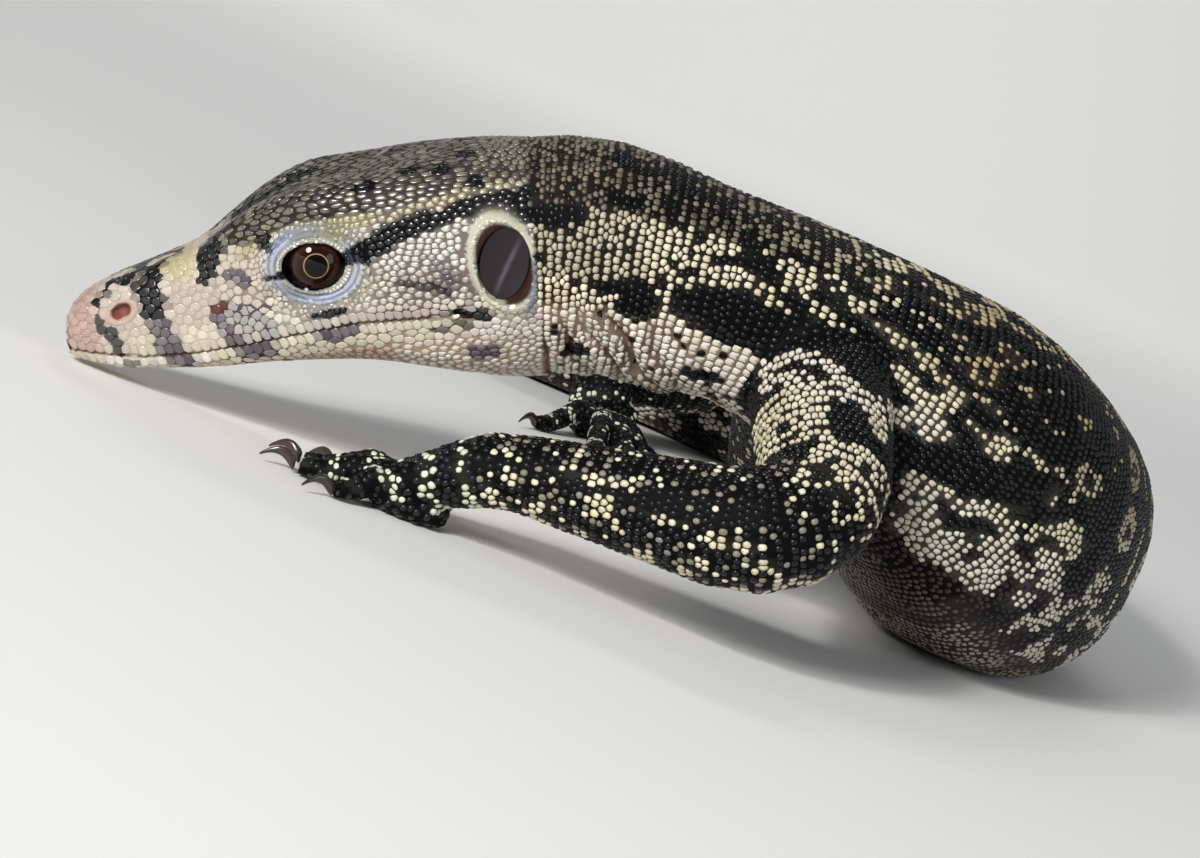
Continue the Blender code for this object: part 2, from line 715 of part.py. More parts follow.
def main():
    clear_scene()
    lizard = collection("water monitor lizard")
    cutters = collection("cutters")
    line = trunk_line()
    build_head(lizard, cutters)
    for name, begin, end, sides in TRUNK_PARTS:
        if name == "neck":
            build_neck(line, begin, end, lizard)
        else:
            trunk_piece(line, name, begin, end, sides, lizard)
    for name, leg in LEGS.items():
        build_leg(name, leg, line, lizard, cutters)
    centre_on_floor(lizard)


main()
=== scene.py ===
import math

import bmesh
import bpy
import numpy as np
from mathutils import Matrix, Vector, noise
from mathutils.bvhtree import BVHTree
from mathutils.kdtree import KDTree


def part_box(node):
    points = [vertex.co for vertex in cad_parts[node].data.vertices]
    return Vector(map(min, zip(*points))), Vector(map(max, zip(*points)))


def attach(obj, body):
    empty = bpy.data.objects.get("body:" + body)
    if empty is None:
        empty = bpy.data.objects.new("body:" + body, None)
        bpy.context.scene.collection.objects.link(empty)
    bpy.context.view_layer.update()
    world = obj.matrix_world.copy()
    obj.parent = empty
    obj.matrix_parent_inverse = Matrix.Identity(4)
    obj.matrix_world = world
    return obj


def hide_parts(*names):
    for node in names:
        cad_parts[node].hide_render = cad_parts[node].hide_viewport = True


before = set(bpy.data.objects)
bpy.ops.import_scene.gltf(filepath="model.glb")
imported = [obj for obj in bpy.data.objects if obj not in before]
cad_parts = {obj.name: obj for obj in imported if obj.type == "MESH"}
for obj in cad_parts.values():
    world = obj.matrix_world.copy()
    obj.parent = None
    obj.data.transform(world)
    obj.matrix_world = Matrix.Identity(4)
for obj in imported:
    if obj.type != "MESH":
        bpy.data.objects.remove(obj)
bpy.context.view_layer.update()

# The trunk of a young water monitor lizard: the middle line from the back of the skull to the tip of the
# tail, on which the skin's folds, the rows of scales and the markings are all laid out. Each row is a
# place, half width, rise to the back and drop to the belly in millimetres, and the roll in degrees.
MM = 0.001
TRUNK_ROWS = [
    (-21.8, 1.4, 25.0, 12.9, 13.2, 12.6, 11), (-13.8, 2.0, 29.3, 12.9, 13.2, 12.8, 11),
    (-3.5, 2.6, 32.2, 12.4, 12.5, 13.4, 9), (8.9, 3.7, 33.8, 11.8, 11.1, 11.6, 7),
    (21.6, 7.6, 32.1, 13.2, 12.7, 13.4, 5), (36.4, 15.3, 26.9, 15.8, 16.8, 18.0, 3),
    (48.0, 30.0, 20.4, 16.4, 18.4, 20.9, 1), (53.6, 50.5, 17.6, 17.4, 17.4, 18.8, 0),
    (53.0, 75.0, 17.1, 17.8, 17.0, 17.9, 0), (47.5, 98.5, 16.3, 17.2, 16.1, 17.1, 0),
    (34.5, 117.0, 15.1, 15.6, 14.6, 15.8, 0), (15.0, 128.0, 13.6, 13.6, 13.1, 14.2, 0),
    (-5.0, 131.0, 12.2, 12.0, 12.0, 12.8, 0), (-22.5, 133.5, 10.5, 9.6, 10.6, 11.1, 0),
    (-37.0, 142.5, 9.2, 8.0, 9.8, 9.8, 0), (-46.5, 158.5, 8.3, 7.1, 9.2, 9.0, 0),
    (-49.5, 181.0, 7.7, 6.3, 8.8, 8.4, 0), (-46.0, 215.0, 6.9, 5.2, 8.1, 7.5, 0),
    (-39.0, 260.0, 6.0, 4.2, 7.2, 6.6, 0), (-31.0, 308.0, 5.0, 3.3, 6.2, 5.6, 0),
    (-21.0, 356.0, 4.0, 2.5, 5.1, 4.5, 0), (-6.0, 402.0, 3.0, 1.9, 3.9, 3.4, 0),
    (17.0, 443.0, 2.1, 1.4, 2.7, 2.5, 0), (46.0, 474.0, 1.4, 1.0, 1.8, 1.7, 0),
    (79.0, 500.0, 0.8, 0.6, 1.0, 1.0, 0),
]
HEAD_TURN = (math.pi + math.radians(4.0), math.radians(26.5), math.radians(-11.0))
EYE_PLACE = (23.5, 6.8, 4.2)
NECK_END, TORSO_END = 33, 198
skull = (
    Matrix.Translation(TRUNK_ROWS[1][:3])
    @ Matrix.Rotation(HEAD_TURN[0], 4, "Z")
    @ Matrix.Rotation(HEAD_TURN[1], 4, "Y")
    @ Matrix.Rotation(HEAD_TURN[2], 4, "X")
)
eye_low, eye_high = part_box("eye_left")
shift = (eye_low + eye_high) / 2 / MM - skull @ Vector(EYE_PLACE)
skull = Matrix.Translation(shift) @ skull
skull_turn = np.array(skull.to_3x3())
skull_place = np.array(skull.translation)


def unit(vectors):
    return vectors / np.maximum(np.linalg.norm(vectors, axis=-1, keepdims=True), 1e-12)


def smooth_rows(rows, steps):
    """Rows of numbers joined by a Catmull-Rom curve."""
    rows = np.asarray(rows, float)
    padded = np.vstack([2 * rows[0] - rows[1], rows, 2 * rows[-1] - rows[-2]])
    t = (np.arange(steps) / steps)[:, None]
    spans = [
        0.5 * (2 * b + (c - a) * t + (2 * a - 5 * b + 4 * c - d) * t**2 + (3 * b - a - 3 * c + d) * t**3)
        for a, b, c, d in zip(padded, padded[1:], padded[2:], padded[3:])
    ]
    return np.vstack([*spans, rows[-1:]])


def body_line(rows, start=0, step=1.0, carried=False):
    """A middle line read every step millimetres: lengths, places, headings, left sides, ups and sizes.
    The up turns as little as it can if it is carried along, or else stays near the vertical."""
    rows = np.asarray(rows, float)
    lengths = np.concatenate([[0], np.cumsum(np.linalg.norm(np.diff(rows[:, :3], axis=0), axis=1))])
    lengths -= lengths[start]
    at = np.arange(lengths[0], lengths[-1], step)
    read = np.stack([np.interp(at, lengths, column) for column in rows.T], axis=1)
    places = read[:, :3]
    headings = unit(np.gradient(places, axis=0))
    ups = np.zeros_like(headings)
    upright = up = np.array([0.0, 0.0, 1.0])
    for i, heading in enumerate(headings):
        up = up if carried else upright
        up = unit(up - heading * up.dot(heading))
        ups[i] = up
    sides = np.cross(headings, ups)
    if not carried:
        roll = np.radians(read[:, 6])[:, None]
        sides, ups = sides * np.cos(roll) - ups * np.sin(roll), ups * np.cos(roll) + sides * np.sin(roll)
    places = places + np.array(shift)
    return {"at": at, "place": places, "heading": headings, "side": sides, "up": ups, "sizes": read[:, 3:]}


trunk = body_line(smooth_rows(TRUNK_ROWS, 12), start=12)

# The four legs and the twenty toes: middle lines with rounded elbows, knees and knuckles. The joints are
# in the trunk line's frame, and the toes fan out from the front of the palm or sole, each turned by so many
# degrees from the way the foot faces. Girths are half widths and half heights at the joints.
LEG_JOINTS = {
    "foreleg_left": [(20, 0, 30), (26.5, -25.5, 15), (-8, -17.0, 9.3), (-18.5, -13.0, 2.3)],
    "foreleg_right": [(20, 10, 28), (22, 36, 15), (26.5, 52.5, 8.2), (24, 61, 2.3)],
    "hindleg_left": [(-4, 134, 12.5), (16, 159, 14), (-9, 171, 8), (1, 182, 2.3)],
    "hindleg_right": [(-4, 128, 12.5), (18, 101.5, 15.5), (-7, 97.5, 8.4), (1, 90.5, 2.3)],
}
FACINGS = {"foreleg_left": 167, "foreleg_right": 100, "hindleg_left": 42, "hindleg_right": -70}
BENDS = {"fore": (8.0, 9.0), "hind": (8.6, 7.0)}
GIRTHS = {
    "fore": [(8.6, 8.2), (6.9, 7.0), (4.4, 4.2), (5.2, 2.4)],
    "hind": [(9.6, 8.8), (6.6, 6.8), (4.4, 4.4), (5.2, 2.5)],
}
TOES = {
    "fore": [(-50, 9.0), (-23, 11.0), (-3, 12.6), (18, 12.0), (54, 9.2)],
    "hind": [(-46, 10.5), (-22, 14.5), (-3, 18.5), (17, 22.5), (52, 15.0)],
}
# Share of a toe's length, height over the floor and half width there.
TOE_PROFILE = [(0.0, 2.2, 1.9), (0.33, 4.1, 1.8), (0.64, 2.1, 1.6), (0.84, 1.1, 1.4), (1.0, 0.95, 1.25)]


def leg_rows(joints, bends, girths):
    """Places and girths along a leg whose inner corners are rounded, and the lengths of its joints."""
    points = [Vector(p) for p in joints]
    made, marks = [points[0]], [0]
    for before, corner, after, radius in zip(points, points[1:], points[2:], bends):
        back, forth = (before - corner).normalized(), (after - corner).normalized()
        half = back.angle(forth) / 2
        centre = corner + (back + forth).normalized() * (radius / math.sin(half))
        start = corner + back * (radius / math.tan(half)) - centre
        stop = corner + forth * (radius / math.tan(half)) - centre
        turn = start.angle(stop)
        steps = 14
        for i in range(steps + 1):
            t = i / steps
            ray = start * math.sin((1 - t) * turn) + stop * math.sin(t * turn)
            made.append(centre + ray / math.sin(turn))
        marks.append(len(made) - 1 - steps // 2)
    made.append(points[-1])
    marks.append(len(made) - 1)
    places = np.array(made)
    lengths = np.concatenate([[0], np.cumsum(np.linalg.norm(np.diff(places, axis=0), axis=1))])
    joint_lengths = lengths[marks]
    share = np.interp(lengths, joint_lengths, np.arange(len(marks)))
    share = np.floor(share) + (share % 1) ** 2 * (3 - 2 * (share % 1))
    columns = np.array(girths).T
    sizes = np.stack([np.interp(share, np.arange(len(girths)), column) for column in columns], axis=1)
    return np.hstack([places, sizes[:, :1], sizes[:, 1:], sizes[:, 1:]]), joint_lengths


lines = {"trunk": trunk}
wrists = {}
for name, joints in LEG_JOINTS.items():
    kind = name[:4]
    outward = 1 if name.endswith("left") else -1
    rows, joint_lengths = leg_rows(joints, BENDS[kind], GIRTHS[kind])
    lines[name] = body_line(rows, step=0.5, carried=True)
    wrists[name] = joint_lengths[2]
    palm = rows[-1, :3] - 2.5 * unit(rows[-1, :3] - rows[-2, :3])
    for number, (spread, length) in enumerate(TOES[kind], start=1):
        angle = math.radians(FACINGS[name] + spread * outward)
        run_x, run_y = math.cos(angle) * length, math.sin(angle) * length
        toe = [
            (palm[0] + run_x * share, palm[1] + run_y * share, height, girth, girth, girth)
            for share, height, girth in TOE_PROFILE
        ]
        lines[f"{name}_toe_{number}"] = body_line(smooth_rows(toe, 6), step=0.5, carried=True)
line_names = list(lines)
HEAD = len(line_names)
LINE_REACH, CHUNK = 26, 4000


def expected_radius(sizes, angles):
    """The trunk's or leg's radius at an angle: an oval whose belly half has its own depth."""
    across, high = np.cos(angles), np.sin(angles)
    drop = np.where(high > 0, sizes[:, 1], sizes[:, 2])
    return 1 / np.sqrt((across / sizes[:, 0]) ** 2 + (high / drop) ** 2)


def in_skull(points):
    """Millimetres in the skull's own frame: x forward, y to its left, z up."""
    return (points - skull_place) @ skull_turn


def body_places(points):
    """The region each point belongs to, its length and angle there, and its place in the skull's frame."""
    count = len(points)
    region = np.zeros(count, int)
    length = np.zeros(count)
    angle = np.zeros(count)
    best = np.full(count, 1e9)
    for index, name in enumerate(line_names):
        line = lines[name]
        low, high = line["place"].min(0) - LINE_REACH, line["place"].max(0) + LINE_REACH
        near = np.nonzero(np.all((points > low) & (points < high), axis=1))[0]
        for chunk in np.array_split(near, max(1, len(near) // CHUNK)):
            if not len(chunk):
                continue
            here = points[chunk]
            gap = ((here[:, None, :] - line["place"][None]) ** 2).sum(2)
            row = gap.argmin(1)
            offset = here - line["place"][row]
            turned = np.arctan2((offset * line["up"][row]).sum(1), (offset * line["side"][row]).sum(1))
            off = np.abs(np.linalg.norm(offset, axis=1) - expected_radius(line["sizes"][row], turned))
            off = off + (0.6 if index else 0.0) * (off > 1.0)
            better = off < best[chunk]
            taken = chunk[better]
            best[taken] = off[better]
            region[taken] = index
            length[taken] = line["at"][row[better]] + (offset[better] * line["heading"][row[better]]).sum(1)
            angle[taken] = turned[better]
    head = in_skull(points)
    underside = np.interp(head[:, 0], [0, 5, 11, 18], [-15.0, -13.6, -12.0, -10.2])
    on_head = (head[:, 0] > -0.3) & (head[:, 0] < 60) & (np.abs(head[:, 1]) < 14.5) & (head[:, 2] > underside)
    region[on_head] = HEAD
    length[on_head] = head[on_head, 0]
    angle[on_head] = np.arctan2(head[on_head, 2] + 1.0, head[on_head, 1])
    return region, length, angle, head


# The skin: one soft hide over head, neck, trunk, tail, legs and feet, without a seam. The solids of the
# flesh are swollen until they merge, rebuilt as one surface, smoothed, and drawn in again by the depth
# of the scales; lips, lids, the rims of ears and nostrils and the folds of throat and neck are modelled in.
SWELL = 0.27
COAT_DEPTH = 0.2
VOXEL = 0.44
THIN_TAIL = 430
SMOOTHINGS = 22
KEPT_SHARE = 0.25
MOUTH_LINE = [
    (56.0, -5.3), (51.5, -5.1), (44.0, -5.8), (38.0, -5.5), (33.0, -4.7), (27.0, -3.6), (20.0, -2.4),
    (9.0, -1.9),
]
EYE_RADII = (3.5, 2.75)
EAR_PLACE, EAR_RADII, EAR_LEAN = (3.0, 3.2), (2.7, 4.1), math.radians(14)
NOSTRIL_PLACE, NOSTRIL_RADII, NOSTRIL_LEAN = (45.6, -0.6), (1.15, 0.7), math.radians(-25)
flesh = [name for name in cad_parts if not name.startswith(("eye", "ear", "claw"))]


def mesh_object(mesh, name):
    data = bpy.data.meshes.new(name)
    mesh.to_mesh(data)
    mesh.free()
    made = bpy.data.objects.new(name, data)
    bpy.context.scene.collection.objects.link(made)
    return made


def apply_modifiers(obj):
    bpy.context.view_layer.update()
    graph = bpy.context.evaluated_depsgraph_get()
    data = bpy.data.meshes.new_from_object(obj.evaluated_get(graph))
    obj.modifiers.clear()
    obj.data = data


def points_of(data):
    co = np.empty(len(data.vertices) * 3, np.float32)
    data.vertices.foreach_get("co", co)
    return co.reshape(-1, 3).astype(float) / MM


def normals_of(data):
    found = np.empty(len(data.vertices) * 3, np.float32)
    data.vertices.foreach_get("normal", found)
    return found.reshape(-1, 3).astype(float)


def move_points(data, points):
    data.vertices.foreach_set("co", (points * MM).astype(np.float32).ravel())
    data.update()


def oval(x, z, centre, radii, lean=0.0):
    """How far out a point lies of a leaning oval: 1 on its edge."""
    dx, dz = x - centre[0], z - centre[1]
    turned_x = dx * math.cos(lean) + dz * math.sin(lean)
    turned_z = dz * math.cos(lean) - dx * math.sin(lean)
    return np.hypot(turned_x / radii[0], turned_z / radii[1])


def stripe(x, z, knots):
    """How far out a place lies of a line of (x, z, half width) knots: below 1 is inside."""
    nearest = np.full(len(x), 9.0)
    for (ax, az, ah), (bx, bz, bh) in zip(knots, knots[1:]):
        dx, dz = bx - ax, bz - az
        t = np.clip(((x - ax) * dx + (z - az) * dz) / (dx * dx + dz * dz), 0, 1)
        gap = np.hypot(x - ax - dx * t, z - az - dz * t)
        nearest = np.minimum(nearest, gap / (ah + (bh - ah) * t))
    return nearest


def bump(value, centre, half):
    return np.exp(-(((value - centre) / half) ** 2))


def soft(value, low, high):
    t = np.clip((value - low) / (high - low), 0, 1)
    return t * t * (3 - 2 * t)


def mouth_height(x):
    knots = np.array(MOUTH_LINE)[::-1]
    return np.interp(x, knots[:, 0], knots[:, 1])


CROWN_EDGE = [
    (-2, 11.0), (5, 11.2), (10, 10.4), (15, 9.6), (20, 9.3), (25, 8.9), (28, 7.6), (31, 6.3), (36, 5.8),
    (41, 4.6), (45, 3.4), (48, 1.8),
]


def crown_height(x):
    """How high the dark crown begins at each length of the head."""
    return np.interp(x, *zip(*CROWN_EDGE))


def eye_oval(x, z):
    return oval(x, z, EYE_PLACE[::2], EYE_RADII)


def ear_oval(x, z):
    return oval(x, z, EAR_PLACE, EAR_RADII, -EAR_LEAN)


def nose_oval(x, z):
    return oval(x, z, NOSTRIL_PLACE, NOSTRIL_RADII, NOSTRIL_LEAN)


def bare_lid(x, y, z):
    """The smooth folds of the lids, without scales."""
    out = eye_oval(x, z)
    return (np.abs(y) > 4) & (out > 1.17) & (out < np.where(z > 5.2, 1.32, 1.52)) & (z < 7.2)


def rise_of(angle):
    """Degrees up from the flank: 90 on the back, -90 on the belly."""
    degrees = np.degrees(angle)
    return np.where(degrees > 90, 180 - degrees, np.where(degrees < -90, -180 - degrees, degrees))


# Where each fold of the throat crosses the flank, how much it leans, and its depth.
FOLDS = [
    (0.9, 0.05, 1.1), (4.6, 0.10, 0.55), (8.2, 0.14, 0.6), (11.6, 0.16, 1.1), (15.5, 0.12, 0.5),
    (19.5, 0.2, 0.35),
]
CHEEK_CREASES = [
    [(34, 0.6, 0.2), (31, 1.2, 0.2), (28.5, 0.6, 0.2)],
    [(33, -0.6, 0.2), (29.5, -0.4, 0.2), (26.5, -1.2, 0.2)],
]


def fold_runs(length, left):
    """For each fold of throat and neck: how far along a place lies from its groove, and the fold's depth."""
    for fold, lean, depth in FOLDS:
        wave = 0.5 * np.sin(left * 0.16 + fold)
        yield length - (fold - lean * (left + 30) + wave), depth * soft(-left, -2, 22)


def relief(region, length, angle, head):
    """How far the skin stands out, in millimetres, where it is folded, lipped or rimmed."""
    x, y, z = head.T
    side = np.abs(y) > 2.2
    on_head = region == HEAD
    out = np.zeros(len(x))
    above = z - mouth_height(x)
    mouth = on_head * soft(x, 6.5, 10.0) * (x < 53.5)
    out -= 0.26 * mouth * bump(above, 0, 0.17)
    out += 0.10 * mouth * (bump(above, 0.8, 0.5) + bump(above, -0.8, 0.5))
    from_eye = eye_oval(x, z)
    near_eye = on_head * side * (from_eye > 0.7) * (from_eye < 2.4)
    out += near_eye * 0.16 * bump(from_eye, 1.08, 0.09)
    for fold, depth in ((1.21, 0.24), (1.40, 0.18), (1.60, 0.16), (1.78, 0.08)):
        out += near_eye * depth * (0.5 * bump(from_eye, fold + 0.09, 0.05) - bump(from_eye, fold, 0.035))
    corner = stripe(x, z, [(27.2, 3.2, 0.45), (29.2, 2.6, 0.3)])
    out -= 0.25 * on_head * side * soft(1.2 - corner, 0, 0.6) * (from_eye > 1)
    from_ear = ear_oval(x, z)
    out += 0.42 * (np.abs(y) > 7) * on_head * bump(from_ear, 1.2, 0.12)
    from_nostril = nose_oval(x, z)
    out += side * on_head * (0.2 * bump(from_nostril, 1.5, 0.3) - 0.12 * soft(1.1 - from_nostril, 0, 0.5))
    for knots in CHEEK_CREASES:
        out -= 0.12 * on_head * side * soft(1.8 - stripe(x, z, knots), 0, 1.5)
    left = rise_of(angle)
    on_trunk = region == 0
    for run, depth in fold_runs(length, left):
        out += on_trunk * depth * (0.5 * bump(run, -1.1, 0.9) - bump(run, 0, 0.55))
    pleats = on_trunk * bump(left, -14, 13) * bump(length, 42, 6)
    out += 0.16 * pleats * np.sin(left * 0.9 + length * 0.25)
    return out


def on_feet(region, length):
    """Whether each place lies on a foot or a toe."""
    found = np.isin(region, [i for i, n in enumerate(line_names) if "toe" in n])
    for name, wrist in wrists.items():
        found |= (region == line_names.index(name)) & (length > wrist)
    return found


shape = bmesh.new()
for name in flesh:
    piece = bmesh.new()
    piece.from_mesh(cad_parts[name].data)
    bmesh.ops.remove_doubles(piece, verts=piece.verts, dist=1e-6)
    bmesh.ops.recalc_face_normals(piece, faces=piece.faces)
    for vert in piece.verts:
        vert.co += vert.normal * SWELL * MM
    held = bpy.data.meshes.new(name)
    piece.to_mesh(held)
    piece.free()
    shape.from_mesh(held)
    bpy.data.meshes.remove(held)
skin = mesh_object(shape, "skin")
merge = skin.modifiers.new("merge", "REMESH")
merge.mode = "VOXEL"
merge.voxel_size = VOXEL * MM
apply_modifiers(skin)
region, length, angle, head = body_places(points_of(skin.data))
softness = np.where(region == HEAD, 0.12, np.where(region == 0, 1.0, 0.55))
softness = np.where(on_feet(region, length), 0.12, softness)
softness = np.where((region == 0) & (length > THIN_TAIL), 0.3, softness)
weights = skin.vertex_groups.new(name="softness")
for level in np.unique(softness):
    weights.add(np.nonzero(softness == level)[0].tolist(), float(level), "REPLACE")
smooth = skin.modifiers.new("smooth", "SMOOTH")
smooth.factor = 0.5
smooth.iterations = SMOOTHINGS
smooth.vertex_group = "softness"
apply_modifiers(skin)
fine = bmesh.new()
fine.from_mesh(skin.data)
x, y, z = in_skull(points_of(skin.data)).T
wanted = (eye_oval(x, z) < 2.1) | (ear_oval(x, z) < 1.5) | (nose_oval(x, z) < 2.8)
wanted |= np.abs(z - mouth_height(x)) < 0.9
wanted &= (region == HEAD) & (x < 54) & (np.abs(y) > 1.5)
fine.verts.ensure_lookup_table()
chosen = {v for v in fine.verts if wanted[v.index]}
inner = [e for e in fine.edges if e.verts[0] in chosen and e.verts[1] in chosen]
bmesh.ops.subdivide_edges(fine, edges=inner, cuts=1, use_grid_fill=True)
bmesh.ops.triangulate(fine, faces=[f for f in fine.faces if len(f.verts) > 4])
fine.to_mesh(skin.data)
fine.free()
points = points_of(skin.data)
region, length, angle, head = body_places(points)
depth = SWELL + np.where(on_feet(region, length) | (region == HEAD), 0.6, 1.0) * COAT_DEPTH
points -= normals_of(skin.data) * depth[:, None]
points += normals_of(skin.data) * relief(region, length, angle, head)[:, None]
points[:, 2] = np.maximum(points[:, 2], 0.05)
move_points(skin.data, points)
coarser = skin.vertex_groups.new(name="coarser")
coarser.add(np.nonzero(region != HEAD)[0].tolist(), 1.0, "REPLACE")
fewer = skin.modifiers.new("fewer", "DECIMATE")
fewer.ratio = KEPT_SHARE
fewer.vertex_group = "coarser"
apply_modifiers(skin)
skin.vertex_groups.clear()
skin.data.shade_smooth()
skin_points = points_of(skin.data)
skin_places = body_places(skin_points)
tree_mesh = bmesh.new()
tree_mesh.from_mesh(skin.data)
bmesh.ops.transform(tree_mesh, matrix=Matrix.Scale(1 / MM, 4), verts=tree_mesh.verts)
surface = BVHTree.FromBMesh(tree_mesh)
tree_mesh.free()


# The markings of a young water monitor, the same on skin and scales: black above with cream-yellow spots
# in cross rows, a pale stripe over a black one behind the eye, dark bars over the snout, a pale throat,
# and bands on the tail. Painted light is laid in as well: shade in the grooves of the folds of throat,
# neck, lids and mouth and behind the ears, in part in the darker tan of the back, and in part a highlight
# on the lid folds. Lengths are in millimetres along the body, angles in degrees up from the flank.
def linear(code):
    """sRGB hex to linear light."""
    parts = np.array([int(code[i:i + 2], 16) for i in (1, 3, 5)]) / 255
    return np.where(parts <= 0.04045, parts / 12.92, ((parts + 0.055) / 1.055) ** 2.4)


def field(points, size, seed=0.0):
    """A soft random field over places in millimetres, about -1 to 1."""
    moved = points / size + seed
    return np.array([noise.noise(p) for p in moved.tolist()])


def blotches(along, around, marks):
    """How far out each place lies of the nearest of a list of oval marks: below 1 is inside."""
    nearest = np.full(len(along), 9.0)
    for centre, height, half, half_height in marks:
        nearest = np.minimum(nearest, np.hypot((along - centre) / half, (around - height) / half_height))
    return nearest


def mix(base, colour, amount):
    amount = np.clip(amount, 0, 1)[:, None]
    return base * (1 - amount) + colour * amount


def laid(colour, layers):
    """A colour under one tone after another, each a hex code or linear light, with its amount."""
    for tone, amount in layers:
        colour = mix(colour, linear(tone) if isinstance(tone, str) else tone, amount)
    return colour


def uneven(colour, chance):
    """Each scale a little lighter or darker than the next."""
    return colour * (0.86 + 0.28 * chance)[:, None]


BLACK = linear("#08070a")
CREAM = linear("#d8cfb6")
YELLOW = linear("#cac09f")
TAN = linear("#97845f")
GREYVIOLET = linear("#50454f")
WHITE = linear("#e6dfd2")

TRUNK_BLOTCHES = [
    (31.7, 37, 1.9, 3.6), (30.2, 24.5, 1.8, 3.4), (34.3, 27.5, 1.6, 2.8), (36.8, 25, 1.6, 2.6),
    (39.6, 23.5, 1.7, 3.6), (35.0, 42, 1.3, 2.0), (37.3, 43.2, 1.6, 1.8), (39.8, 44.2, 1.6, 1.8),
    (42.4, 43.6, 1.6, 1.9), (40.4, 57, 1.7, 2.6), (42.2, 20.5, 1.2, 2.2), (44.4, 17.5, 1.3, 2.8),
    (38.6, 10.5, 2.3, 3.6), (41.4, 8.5, 2.3, 4.0), (43.4, 3.5, 1.9, 4.0), (45.4, -1.5, 1.7, 3.0),
    (43.8, 11.5, 1.2, 3.0), (48.4, 9, 2.1, 2.5), (50.2, 5.5, 1.7, 3.6), (50.9, 11.5, 1.0, 3.2),
    (47.0, 22.0, 0.9, 1.3), (49.0, 21.5, 0.9, 1.3), (50.6, 19, 0.9, 1.4), (51.0, 36, 1.0, 3.4),
    (53.4, 12, 0.9, 1.6), (55.0, 11, 0.9, 1.4), (57.0, 13, 0.9, 1.4), (58.6, 11.5, 0.9, 1.5),
    (59.0, 38.5, 1.3, 3.0), (61.4, 8.5, 1.0, 2.8), (59.0, 1.5, 0.8, 3.2), (63.9, -4.5, 2.3, 5.4),
    (61.3, -6.5, 1.3, 3.2), (59.1, -12, 1.5, 3.8), (66.2, -9.5, 1.3, 3.4), (63.6, -18, 1.7, 4.6),
    (65.8, -23, 1.8, 5.0), (54.3, -17, 2.7, 3.8), (57.0, -19.5, 1.4, 3.4), (50.3, -21.5, 2.2, 2.8),
    (47.2, -25, 1.6, 4.4), (48.6, -31, 1.7, 4.0), (50.8, -34.5, 1.6, 4.0), (49.6, -40, 1.5, 4.6),
    (52.4, -45, 1.6, 3.4), (58.6, -34.4, 1.6, 3.0), (53.6, -36.5, 1.5, 6.0), (56.0, -41, 2.0, 4.0),
    (57.6, -27.5, 2.5, 4.0), (61.6, -27.5, 1.8, 3.2), (59.6, -40.5, 2.0, 3.2), (64.6, -34.5, 1.4, 3.2),
    (60.2, -33, 1.0, 3.6),
]
TRUNK_RINGS = [
    (32.6, 55, 1.7, 7.0), (44.2, 63, 2.0, 6.0), (45.6, 34, 1.7, 6.5), (48.3, 49, 1.8, 5.6),
    (62.3, 18.5, 2.3, 6.6),
]
NECK_BLACKS = [
    (11.8, -1, 2.5, 11.5), (7.6, 4.5, 1.5, 4.5), (5.8, -36, 2.0, 5.5), (20.6, -37, 2.4, 4.6),
    (10.2, 69, 1.5, 4.5),
]


# Length along the neck, then the lower and the upper edge of the dark band on its side.
SIDE_BAND = [(15, -2, 6), (17, -9, 11), (21, -17, 14), (26, -22, 12), (30, -24, 16), (36, 0, 22), (42, 8, 14)]
SEEN_END, BELLY = 69, -52
ROW_STEP, SPOT_STEP, BAND_STEP = 14.0, 27.0, 21.0


